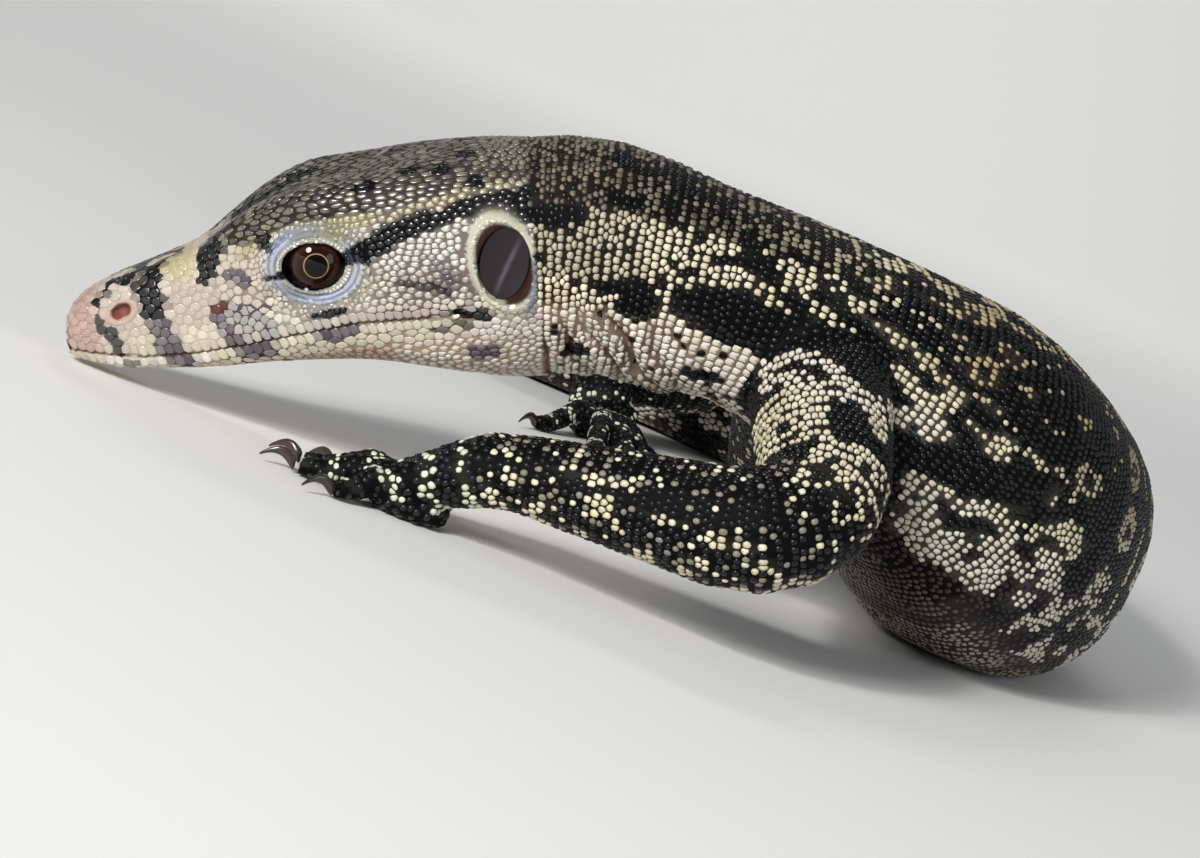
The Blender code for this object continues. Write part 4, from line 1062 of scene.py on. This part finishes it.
def headings_at(places, points, normals):
    """The direction along the body at each place, laid in the skin."""
    region, length, angle, head = places
    along = np.zeros_like(points)
    for index in np.unique(region):
        here = region == index
        if index == HEAD:
            x, y, z = head[here].T
            back = np.tile(-skull_turn[:, 0], (here.sum(), 1))
            dx, dz = (x - EYE_PLACE[0]) / EYE_RADII[0] ** 2, (z - EYE_PLACE[2]) / EYE_RADII[1] ** 2
            round_eye = (-dz)[:, None] * skull_turn[:, 0] + dx[:, None] * skull_turn[:, 2]
            near = soft(2.0 - eye_oval(x, z), 0, 0.5) * (np.abs(y) > 4)
            along[here] = back * (1 - near)[:, None] + unit(round_eye) * near[:, None]
        else:
            line = lines[line_names[index]]
            rows = np.clip(np.searchsorted(line["at"], length[here]), 0, len(line["at"]) - 1)
            along[here] = line["heading"][rows]
    along -= normals * (along * normals).sum(1, keepdims=True)
    return unit(along)


class Settled:
    """Places already taken by scales, kept in cells so that the next can be tested against them."""

    cell = 1.0

    def __init__(self):
        self.cells = {}
        self.rows = []

    def add(self, row):
        key = tuple(int(math.floor(v / self.cell)) for v in row[:3])
        self.cells.setdefault(key, []).append(len(self.rows))
        self.rows.append(row)

    def free(self, row, along, across, long, wide, space):
        kx, ky, kz = (int(math.floor(v / self.cell)) for v in row[:3])
        for i in range(kx - 1, kx + 2):
            for j in range(ky - 1, ky + 2):
                for k in range(kz - 1, kz + 2):
                    for other in self.cells.get((i, j, k), ()):
                        held = self.rows[other]
                        dx, dy, dz = row[0] - held[0], row[1] - held[1], row[2] - held[2]
                        p = (dx * along[0] + dy * along[1] + dz * along[2]) / long
                        q = (dx * across[0] + dy * across[1] + dz * across[2]) / wide
                        if p * p + q * q < space:
                            return False
        return True


def settle(settled, rows, space):
    """Adds those of the rows that have room."""
    places = body_places(rows[:, :3])
    long, wide, tall = scale_size(places, rows[:, :3])
    along = headings_at(places, rows[:, :3], rows[:, 3:])
    across = np.cross(rows[:, 3:], along)
    for row, *room in zip(*(part.tolist() for part in (rows, along, across, long, wide))):
        if settled.free(row, *room, space):
            settled.add(row)


LIP_ROWS = (0.78, -0.75)
LIP_FRONT, LIP_BACK = 52.6, 10
LID_RING, LID_PITCH, LID_RADIUS = 1.1, 0.42, 3.1


def lip_seeds():
    """Plates along the upper and lower lip, and a ring of granules round the lids."""
    found = []
    to_side = skull.to_3x3()
    for offset in LIP_ROWS:
        x = LIP_FRONT
        while x > LIP_BACK:
            for side in (1, -1):
                start = skull @ Vector((x, 0.0, float(mouth_height(x)) + offset))
                found.append(surface.ray_cast(start, to_side @ Vector((0, side, 0))))
            x -= 1.0 + 0.04 * math.sin(x * 7)
    count = round(2 * math.pi * LID_RADIUS * LID_RING / LID_PITCH)
    for k in range(count):
        turn = 2 * math.pi * k / count
        x = EYE_PLACE[0] + EYE_RADII[0] * LID_RING * math.cos(turn)
        z = EYE_PLACE[2] + EYE_RADII[1] * LID_RING * math.sin(turn)
        for side in (1, -1):
            start = skull @ Vector((x, side * 14.0, z))
            found.append(surface.ray_cast(start, to_side @ Vector((0, -side, 0)), 9))
    return np.array([(*hit, *normal) for hit, normal, face, distance in found if hit is not None])


# How many places are tried, and how much room each needs, as the square of a share of its own size.
FACE_TRIES, BODY_TRIES = 90000, 150000
LIP_ROOM, ROW_ROOM, FACE_ROOM, BODY_ROOM = 2.0, 1.9, 2.75, 2.3
settled = Settled()
settle(settled, lip_seeds(), LIP_ROOM)
for index, name in enumerate(line_names):
    if "toe" not in name:
        settle(settled, row_seeds(index), ROW_ROOM)
region, length, angle, head = skin_places
x, y, z = head.T
inside_eye = (np.abs(y) > 4) & (eye_oval(x, z) < 1.0)
inside_ear = (np.abs(y) > 7) & (ear_oval(x, z) < 1.12)
inside_nose = (np.abs(y) > 2) & (nose_oval(x, z) < 1.95)
in_mouth = (np.abs(z - mouth_height(x)) < 0.16) & (x > 9.5)
closed = (region == HEAD) & (inside_eye | inside_ear | inside_nose | in_mouth | bare_lid(x, y, z))
weight = np.where(closed, 0.0, np.where(region == HEAD, 1.0, 0.0))
settle(settled, strewn_seeds(FACE_TRIES, weight), FACE_ROOM)
weight = np.where(closed | (skin_points[:, 2] < 0.06), 0.0, 1.0)
settle(settled, strewn_seeds(BODY_TRIES, weight), BODY_ROOM)
seeds = np.array(settled.rows)

seed_points, seed_normals = seeds[:, :3], seeds[:, 3:]
seed_places = body_places(seed_points)
seed_long, seed_wide, seed_tall = scale_size(seed_places, seed_points)
varied = rng.uniform(0.9, 1.1, len(seeds))
seed_long, seed_wide = seed_long * varied, seed_wide * varied
seed_along = headings_at(seed_places, seed_points, seed_normals)
seed_across = np.cross(seed_normals, seed_along)
chance = rng.random(len(seeds))
seed_colour, seed_pale = markings(seed_places, seed_points, chance)
near_tree = KDTree(len(seeds))
for i, point in enumerate(seed_points.tolist()):
    near_tree.insert(point, i)
near_tree.balance()
NEIGHBOURS = 9
near = np.array([
    [found[1] for found in near_tree.find_n(point, NEIGHBOURS + 1)][1:] for point in seed_points.tolist()
])

region, length, angle, head = seed_places
x, y, z = head.T
on_head = region == HEAD
on_neck = (region == 0) & (length < NECK_END)
crown = on_head & (z > crown_height(x)) & (x < 33)
plate = on_head & ~crown & ((x > 27) | (np.abs(z - mouth_height(x) + 0.6) < 2.4))
low_neck = on_neck & (rise_of(angle) < -8)
high_neck = on_neck & ~low_neck
company = seed_pale * seed_pale[near].mean(1)
lone = rng.uniform(0.74, 1.06, len(seeds))
seed_cap = 0.94 + 0.05 * seed_pale + 0.22 * company
seed_cap *= np.where((company < 0.35) & (seed_pale > 0.5), lone, rng.uniform(0.95, 1.05, len(seeds)))
seed_cap = np.where((region == 0) & (length > 196), 1.12, seed_cap)
seed_cap = np.where(crown, 1.26, np.where(low_neck, 1.6, np.where(on_head, 1.3, seed_cap)))
seed_cap = np.where(plate, 1.5, seed_cap)
seed_gap = np.where(low_neck, 0.035, 0.085 - 0.045 * company)
seed_gap = np.where(plate, 0.022, np.where(on_head, 0.055, seed_gap))
seed_gap = np.where(high_neck, np.interp(length, [0, 12, 22], [0.05, 0.08, 0.12]), seed_gap)
seed_rim = gap_colours(seed_places, seed_points, seed_colour, seed_pale)
seed_rim = laid(seed_rim, [
    (seed_colour * 0.3, ~on_head * company * np.where(high_neck, 0.2, 0.8)),
    (seed_colour * 0.55, low_neck * seed_pale * 0.7),
])


def reach(turns):
    """How far each scale grows in each direction, as a share of its own half length and width."""
    offset = seed_points[near] - seed_points[:, None]
    p = (offset * seed_along[:, None]).sum(2) / seed_long[:, None]
    q = (offset * seed_across[:, None]).sum(2) / seed_wide[:, None]
    half = (p * p + q * q) / 2
    grown = np.tile(seed_cap[:, None], (1, len(turns)))
    for k, turn in enumerate(turns):
        toward = p * math.cos(turn) + q * math.sin(turn)
        limit = np.where(toward > 1e-6, half / np.maximum(toward, 1e-6), 9.0).min(1)
        grown[:, k] = np.minimum(grown[:, k], limit * (1 - seed_gap))
    return grown


def bead(sides, levels):
    """The upper half of a ball with a few dozen faces."""
    mesh = bmesh.new()
    bmesh.ops.create_uvsphere(mesh, u_segments=sides, v_segments=levels, radius=1)
    low = [v for v in mesh.verts if v.co.z < -0.05]
    bmesh.ops.delete(mesh, geom=low, context="VERTS")
    mesh.verts.ensure_lookup_table()
    shape = np.array([v.co[:] for v in mesh.verts])
    faces = [[v.index for v in f.verts] for f in mesh.faces]
    mesh.free()
    return shape, faces


# Where each region's strip begins on the flat unwrap, its scale along the body and its height.
REGION_SPOTS = {}
for index, name in enumerate(line_names):
    if index == 0:
        REGION_SPOTS[index] = (0.03, 0.70, 0.00145, 0.27)
    elif "toe" in name:
        k = index % 25
        REGION_SPOTS[index] = (0.03 + 0.19 * (k % 5), 0.03 + 0.065 * (k // 5), 0.0068, 0.055)
    else:
        REGION_SPOTS[index] = (0.33 + 0.165 * list(LEG_JOINTS).index(name), 0.38, 0.0021, 0.28)
REGION_SPOTS[HEAD] = (0.03, 0.38, 0.005, 0.28)


def unwrapped(region, length, angle):
    """Where a place lies on the flat unwrap of the skin: one strip for each region, slit along the belly."""
    table = np.array([REGION_SPOTS[i] for i in range(HEAD + 1)])[region]
    turn = ((angle + math.pi / 2) % (2 * math.pi)) / (2 * math.pi)
    across = table[:, 0] + np.maximum(length, 0) * table[:, 2]
    return np.stack([across, table[:, 1] + turn * table[:, 3]], axis=1)


def scales_object(name, chosen, sides, levels, plate):
    """The chosen scales as one mesh, each stretched to the room it has: beads domed and sunk at the edge,
    plates flat on top with steep sides, the middle of each top painted a little lighter as a glint."""
    shape, faces = bead(sides, levels)
    turns = np.arctan2(shape[:, 1], shape[:, 0])
    share = np.hypot(shape[:, 0], shape[:, 1])
    grown = reach_of[sides][chosen]
    column = np.round(turns / (2 * math.pi) * sides).astype(int) % sides
    plated = plate[chosen][:, None]
    spread = share[None] ** np.where(plated, 0.42, 0.8)
    rise = shape[:, 2][None] ** np.where(plated, 0.35, 0.9)
    radius = grown[:, column] * spread
    p = radius * np.cos(turns)[None] * seed_long[chosen][:, None]
    q = radius * np.sin(turns)[None] * seed_wide[chosen][:, None]
    lift = rise * seed_tall[chosen][:, None] - np.where(plated, 0.02, 0.07)
    lift += 0.10 * p * (1 - plated) * (share < 0.95)[None] * 0.6
    verts = (
        seed_points[chosen][:, None]
        + p[..., None] * seed_along[chosen][:, None]
        + q[..., None] * seed_across[chosen][:, None]
        + lift[..., None] * seed_normals[chosen][:, None]
    )
    verts[..., 2] = np.maximum(verts[..., 2], 0.0)
    count, size = len(chosen), len(shape)
    starts, corners = [], []
    for face in faces:
        starts.append(len(corners))
        corners += face
    step = np.arange(count)[:, None]
    all_corners = (np.array(corners) + step * size).ravel()
    all_starts = (np.array(starts) + step * len(corners)).ravel()
    data = bpy.data.meshes.new(name)
    data.vertices.add(count * size)
    data.vertices.foreach_set("co", (verts * MM).astype(np.float32).ravel())
    data.loops.add(len(all_corners))
    data.loops.foreach_set("vertex_index", all_corners.astype(np.int32))
    data.polygons.add(len(all_starts))
    data.polygons.foreach_set("loop_start", all_starts.astype(np.int32))
    data.update(calc_edges=True)
    data.shade_smooth()
    edge = (share > 0.95)[None, :, None]
    # Painted glint: the middle point of each scale's top is made 8% lighter.
    top = seed_colour[chosen][:, None] * (1.0 + 0.08 * (share < 0.1))[None, :, None]
    tint = np.where(edge, seed_rim[chosen][:, None], top)
    # The rear of each pale bead, between its middle and its rim, is made darker, to 40%.
    rear = (np.abs(turns) < 0.2) & (share < 0.95) & (share > 0.1)
    darkened_rear = (seed_pale[chosen] > 0.5) & ~plate[chosen]
    tint = np.where((darkened_rear[:, None] & rear[None])[..., None], tint * 0.4, tint)
    colours = data.attributes.new("markings", "FLOAT_COLOR", "POINT")
    values = np.ones((count, size, 4), np.float32)
    values[..., :3] = tint
    colours.data.foreach_set("color", values.ravel())
    roots = unwrapped(*(part[chosen] for part in seed_places[:3]))
    patch = roots[:, None] + 0.0014 * shape[None, :, :2]
    layer = data.uv_layers.new(name="OFBake")
    layer.data.foreach_set("uv", patch.reshape(-1, 2)[all_corners].astype(np.float32).ravel())
    made = bpy.data.objects.new(name, data)
    bpy.context.scene.collection.objects.link(made)
    return made


reach_of = {sides: reach(2 * math.pi * np.arange(sides) / sides) for sides in (8, 6)}
# Each coat of the trunk: where it begins and ends, and the sides and levels of its beads.
TRUNK_COATS = [
    ("neck", -math.inf, NECK_END, 8, 6), ("torso_front", NECK_END, 80, 8, 4), ("torso_middle", 80, 126, 8, 4),
    ("torso_rear", 126, 196, 8, 4), ("tail_base", 196, 330, 6, 4), ("tail_end", 330, math.inf, 6, 4),
]
high = z > 9.0
groups = {
    "scales_crown": (on_head & high, 8, 6),
    "scales_face_left": (on_head & ~high & (y > 0), 8, 6),
    "scales_face_right": (on_head & ~high & (y <= 0), 8, 6),
}
for name, first, last, sides, levels in TRUNK_COATS:
    groups["scales_" + name] = ((region == 0) & (length >= first) & (length < last), sides, levels)
for leg in LEG_JOINTS:
    own = [i for i, n in enumerate(line_names) if n.startswith(leg)]
    groups["scales_" + leg] = (np.isin(region, own), 8, 4)


# Horn and hide share one clear protein surface: the scales are drier on the body and wet-glossy on the
# face, the hide between them is matt. Colour comes from the markings laid on skin and scales alike, with
# painted shade in the folds and a painted glint on each scale's top.
def material(name, roughness, coat=0.0, ior=1.54, shine=0.5):
    made = bpy.data.materials.new(name)
    made.use_nodes = True
    shader = made.node_tree.nodes["Principled BSDF"]
    shader.inputs["Metallic"].default_value = 0.0
    shader.inputs["Roughness"].default_value = roughness
    shader.inputs["IOR"].default_value = ior
    shader.inputs["Specular IOR Level"].default_value = shine
    shader.inputs["Coat Weight"].default_value = coat
    shader.inputs["Coat Roughness"].default_value = 0.12
    return made, shader


def add_node(made, kind, settings=None, **inputs):
    """A node with its settings and its inputs, each a value or another node's output."""
    node = made.node_tree.nodes.new(kind)
    for key, value in (settings or {}).items():
        setattr(node, key, value)
    for key, value in inputs.items():
        numbered = key[0] == "i" and key[1:].isdigit()
        socket = node.inputs[int(key[1:]) if numbered else key.replace("_", " ")]
        if isinstance(value, bpy.types.NodeSocket):
            made.node_tree.links.new(value, socket)
        else:
            socket.default_value = value
    return node


def scaled(made, colour, amount):
    """A colour output made lighter or darker by a value output."""
    node = add_node(made, "ShaderNodeVectorMath", {"operation": "SCALE"}, i0=colour, Scale=amount)
    return node.outputs[0]


def marked_material(name, roughness, coat, bumpiness, grain, ior=1.54, shine=0.5):
    """A surface coloured by the markings, with a fine grain of the given size in millimetres."""
    made, shader = material(name, roughness, coat, ior, shine)
    colour = add_node(made, "ShaderNodeAttribute", {"attribute_name": "markings"})
    place = add_node(made, "ShaderNodeTexCoord")
    fine = add_node(
        made, "ShaderNodeTexNoise", Vector=place.outputs["Object"], Scale=1 / (grain * MM), Detail=3.0
    ).outputs["Fac"]
    low = add_node(made, "ShaderNodeMapRange", Value=fine, To_Min=0.82, To_Max=1.16)
    tinted = scaled(made, colour.outputs["Color"], low.outputs["Result"])
    rough = add_node(
        made, "ShaderNodeMapRange", Value=fine, To_Min=roughness * 0.8, To_Max=roughness * 1.25
    )
    bumps = add_node(made, "ShaderNodeBump", Strength=bumpiness, Distance=0.05 * MM, Height=fine)
    links = made.node_tree.links
    links.new(tinted, shader.inputs["Base Color"])
    links.new(rough.outputs["Result"], shader.inputs["Roughness"])
    links.new(bumps.outputs["Normal"], shader.inputs["Normal"])
    return made


scale_horn = marked_material("body scales, keratin", 0.32, 0.0, 0.35, 0.12, shine=0.3)
face_horn = marked_material("face scales, glossy keratin", 0.28, 0.6, 0.7, 0.34, shine=0.4)
hide = marked_material("hide between the scales", 0.62, 0.0, 0.5, 0.08, ior=1.42, shine=0.12)


def dress(obj, look, slot, *nodes):
    """One material, its slot (not used), its body and the solids it stands for."""
    obj.data.materials.clear()
    obj.data.materials.append(look)
    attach(obj, "root")
    if nodes:
        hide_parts(*nodes)


skin_chance = np.full(len(skin_points), 0.5)
skin_colour, skin_pale = markings(skin_places, skin_points, skin_chance)
values = np.ones((len(skin_points), 4), np.float32)
values[:, :3] = gap_colours(skin_places, skin_points, skin_colour, skin_pale)
colours = skin.data.attributes.new("markings", "FLOAT_COLOR", "POINT")
colours.data.foreach_set("color", values.ravel())
corners = np.empty(len(skin.data.loops), np.int32)
skin.data.loops.foreach_get("vertex_index", corners)
layer = skin.data.uv_layers.new(name="OFBake")
layer.data.foreach_set("uv", unwrapped(*skin_places[:3])[corners].astype(np.float32).ravel())
dress(skin, hide, "scaly_skin", *flesh)
for name, (mask, sides, levels) in groups.items():
    coat = scales_object(name, np.nonzero(mask)[0], sides, levels, plate)
    face = name.startswith(("scales_crown", "scales_face"))
    dress(coat, face_horn if face else scale_horn, "face" if face else "scaly_skin")


# The eyes: wet globes in their sockets, with a round black pupil, a thin gold ring and a dark red-brown
# iris. Each is a fine ball turned with its pole outwards; the colours run out from that pole.
IRIS_RINGS = [
    (0.0, "#010101"), (0.225, "#020101"), (0.232, "#b8925f"), (0.248, "#74502f"), (0.262, "#160806"),
    (0.36, "#27120c"), (0.45, "#3d2018"), (0.53, "#170b08"), (0.62, "#050303"), (1.0, "#060404"),
]


def eye_material():
    made, shader = material("eye, wet iris and pupil", 0.03, ior=1.376, shine=0.5)
    place = add_node(made, "ShaderNodeUVMap", {"uv_map": "iris"})
    split = add_node(made, "ShaderNodeSeparateXYZ", Vector=place.outputs["UV"])
    ramp = add_node(made, "ShaderNodeValToRGB", Fac=split.outputs["X"])
    stops = ramp.color_ramp.elements
    while len(stops) < len(IRIS_RINGS):
        stops.new(1.0)
    for stop, (at, code) in zip(stops, IRIS_RINGS):
        stop.position = at
        stop.color = (*linear(code), 1.0)
    streaks = add_node(made, "ShaderNodeTexNoise", Vector=place.outputs["UV"], Scale=34.0, Detail=2.0)
    dim = add_node(made, "ShaderNodeMapRange", Value=streaks.outputs["Fac"], To_Min=0.6, To_Max=1.4)
    tinted = scaled(made, ramp.outputs["Color"], dim.outputs["Result"])
    made.node_tree.links.new(tinted, shader.inputs["Base Color"])
    return made


wet_eye = eye_material()
for word, side in (("left", 1), ("right", -1)):
    low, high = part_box("eye_" + word)
    ball = bmesh.new()
    bmesh.ops.create_uvsphere(ball, u_segments=64, v_segments=48, radius=(high - low).x / 2 - 0.02 * MM)
    poles = ball.loops.layers.uv.new("iris")
    flat = ball.loops.layers.uv.new("OFBake")
    for face in ball.faces:
        for loop in face.loops:
            across = Vector((loop.vert.co.x, loop.vert.co.y))
            out = math.atan2(across.length, loop.vert.co.z) / (math.pi / 2)
            loop[poles].uv = (out, math.atan2(across.y, across.x) / (2 * math.pi) * 0.2)
            loop[flat].uv = (0.5 + loop.vert.co.x * 40, 0.01 + abs(loop.vert.co.y) * 2)
    outward = skull.to_3x3().normalized() @ Vector((-0.10, side, 0.05))
    turn = outward.to_track_quat("Z", "Y").to_matrix().to_4x4()
    bmesh.ops.transform(ball, matrix=Matrix.Translation((low + high) / 2) @ turn, verts=ball.verts)
    eye = mesh_object(ball, "eye_globe_" + word)
    eye.data.shade_smooth()
    dress(eye, wet_eye, "eye", "eye_" + word)

# The eardrums: thin dark membranes at the bottom of each ear's cup, slightly drawn in, with one faint
# raised crease, painted lighter along it as a highlight. Each is an oval sheet, its edge under the cup's rim.
DRUM_HALF, DRUM_DEPTH, DRUM_ASIDE = (2.6, 4.0), 0.45, 11.6
membrane = marked_material("eardrum membrane", 0.30, 0.25, 0.3, 0.5, ior=1.4, shine=0.4)
for word, side in (("left", 1), ("right", -1)):
    sheet = bmesh.new()
    bmesh.ops.create_circle(sheet, cap_ends=True, segments=64, radius=1)
    for ring in range(11):
        middle = [f for f in sheet.faces if len(f.verts) > 4]
        bmesh.ops.inset_individual(sheet, faces=middle, thickness=0.085, use_even_offset=True)
    tint = sheet.verts.layers.float_color.new("markings")
    for vert in sheet.verts:
        x, y = vert.co.x, vert.co.y
        # Painted highlight: the skin along the raised crease is made lighter.
        crease_and_glint = max(0, 1 - abs(x - side * 0.42 * y + 0.2) / 0.16) * max(0, 1 - (x * x + y * y))
        shade = linear("#1f1a1e") * (1 - crease_and_glint) + linear("#5c5663") * crease_and_glint
        vert[tint] = (*shade, 1.0)
        sunk = DRUM_DEPTH * (1 - x * x - y * y)
        vert.co = Vector((x * DRUM_HALF[0], y * DRUM_HALF[1], -sunk - 0.1 + 0.25 * crease_and_glint))
    bmesh.ops.recalc_face_normals(sheet, faces=sheet.faces)
    lean = Matrix.Rotation(-EAR_LEAN, 4, "Y")
    flat = Matrix.Rotation(-side * math.pi / 2, 4, "X")
    place = Matrix.Translation((EAR_PLACE[0], side * DRUM_ASIDE, EAR_PLACE[1]))
    bmesh.ops.transform(sheet, matrix=Matrix.Scale(MM, 4) @ skull @ place @ lean @ flat, verts=sheet.verts)
    drum = mesh_object(sheet, "eardrum_" + word)
    drum.data.shade_smooth()
    drum.data.uv_layers.new(name="OFBake")
    dress(drum, membrane, "eardrum", "ear_" + word)


# The claws: hooked horn, glossy and dark with a faint brown mottle, one in front of each toe. Each solid
# claw is copied, its faces rounded over by subdivision.
def claw_material():
    made, shader = material("claw horn", 0.22, 0.2)
    place = add_node(made, "ShaderNodeTexCoord")
    grain = add_node(made, "ShaderNodeTexNoise", Vector=place.outputs["Object"], Scale=420.0, Detail=2.0)
    ramp = add_node(made, "ShaderNodeValToRGB", Fac=grain.outputs["Fac"])
    ramp.color_ramp.elements[0].color = (*linear("#1a1413"), 1)
    ramp.color_ramp.elements[1].color = (*linear("#4b3a33"), 1)
    made.node_tree.links.new(ramp.outputs["Color"], shader.inputs["Base Color"])
    return made


horn = claw_material()
for name in sorted(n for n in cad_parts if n.startswith("claw")):
    claw = bmesh.new()
    claw.from_mesh(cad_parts[name].data)
    bmesh.ops.remove_doubles(claw, verts=claw.verts, dist=1e-6)
    bmesh.ops.recalc_face_normals(claw, faces=claw.faces)
    hook = mesh_object(claw, "horn_" + name)
    rounder = hook.modifiers.new("round", "SUBSURF")
    rounder.levels = rounder.render_levels = 2
    apply_modifiers(hook)
    hook.data.shade_smooth()
    if not hook.data.uv_layers:
        hook.data.uv_layers.new(name="OFBake")
    dress(hook, horn, "claw", name)

# The stage: a pale matt sweep of paper under and behind the model, a large soft light over the left front
# with a small one beside it for the glints, a weaker one from the right and a pale sky, as in open shade.
# The camera stands low on the animal's left, rolled so that the head lies level.
BEND_START, BEND_RADIUS, HALF_WIDTH = 1.4, 1.2, 5
WALL, FLOOR_RUN = Vector((0, 0, 4)), Vector((0, -5, 0))
sweep = bmesh.new()
ends = [sweep.verts.new((x, BEND_START, 0)) for x in (-HALF_WIDTH, HALF_WIDTH)]
edge = sweep.edges.new(ends)
bmesh.ops.spin(
    sweep, geom=[*ends, edge], cent=(0, BEND_START, BEND_RADIUS), axis=(1, 0, 0), angle=math.pi / 2, steps=24
)
for run, row in ((WALL, BEND_START + BEND_RADIUS), (FLOOR_RUN, BEND_START)):
    border = [e for e in sweep.edges if e.is_boundary and all(abs(v.co.y - row) < 1e-4 for v in e.verts)]
    grown = bmesh.ops.extrude_edge_only(sweep, edges=border)
    moved = [v for v in grown["geom"] if isinstance(v, bmesh.types.BMVert)]
    bmesh.ops.translate(sweep, vec=run, verts=moved)
bmesh.ops.recalc_face_normals(sweep, faces=sweep.faces)
floor = mesh_object(sweep, "floor")
floor.data.shade_smooth()
paper, paper_shader = material("pale paper", 0.8)
paper_shader.inputs["Base Color"].default_value = (*linear("#f3f2ef"), 1)
floor.data.materials.append(paper)


def soft_light(name, place, aim, size, power, colour=(1, 1, 1)):
    light = bpy.data.lights.new(name, "AREA")
    light.shape = "DISK"
    light.size = size
    light.energy = power
    light.color = colour
    made = bpy.data.objects.new(name, light)
    made.location = place
    made.rotation_euler = (Vector(aim) - Vector(place)).to_track_quat("-Z", "Y").to_euler()
    bpy.context.scene.collection.objects.link(made)


WARM, COOL = (1.0, 0.995, 0.985), (0.93, 0.96, 1.0)
target = Vector(shift) * MM
soft_light("key light", target + Vector((-0.45, -0.78, 0.44)), target, 0.30, 8.2, WARM)
soft_light("small light", target + Vector((-0.43, -0.74, 0.52)), target, 0.07, 2.4, WARM)
soft_light("side light", target + Vector((0.7, -0.45, 0.35)), target, 0.5, 1.2, COOL)
soft_light("backdrop light", Vector((0, 1.0, 1.5)), Vector((0, 2.0, 0.2)), 1.0, 15.3)
sky = bpy.data.worlds.new("open shade")
bpy.context.scene.world = sky
sky.use_nodes = True
sky.node_tree.nodes["Background"].inputs["Color"].default_value = (0.86, 0.90, 0.97, 1)
sky.node_tree.nodes["Background"].inputs["Strength"].default_value = 0.2

RAISE, ROLL, DISTANCE = math.radians(8.0), math.radians(21.8), 0.320
AIM_HEIGHT, SENSOR, FOCAL_LENGTH = 14.65 * MM, 36, 86.4
ahead = Vector((0, math.cos(RAISE), -math.sin(RAISE)))
level_up = Vector((0, math.sin(RAISE), math.cos(RAISE)))
across = Vector((1, 0, 0)) * math.cos(ROLL) + level_up * math.sin(ROLL)
above = Vector((-1, 0, 0)) * math.sin(ROLL) + level_up * math.cos(ROLL)
stand = target + Vector((0, 0, AIM_HEIGHT)) - ahead * DISTANCE
lens = bpy.data.cameras.new("camera")
lens.sensor_width = SENSOR
lens.lens = FOCAL_LENGTH
lens.clip_start = 0.01
camera = bpy.data.objects.new("camera", lens)
camera.matrix_world = Matrix((
    (across.x, above.x, -ahead.x, stand.x),
    (across.y, above.y, -ahead.y, stand.y),
    (across.z, above.z, -ahead.z, stand.z),
    (0, 0, 0, 1),
))
bpy.context.scene.collection.objects.link(camera)
bpy.context.scene.camera = camera
bpy.context.scene.view_settings.view_transform = "Standard"
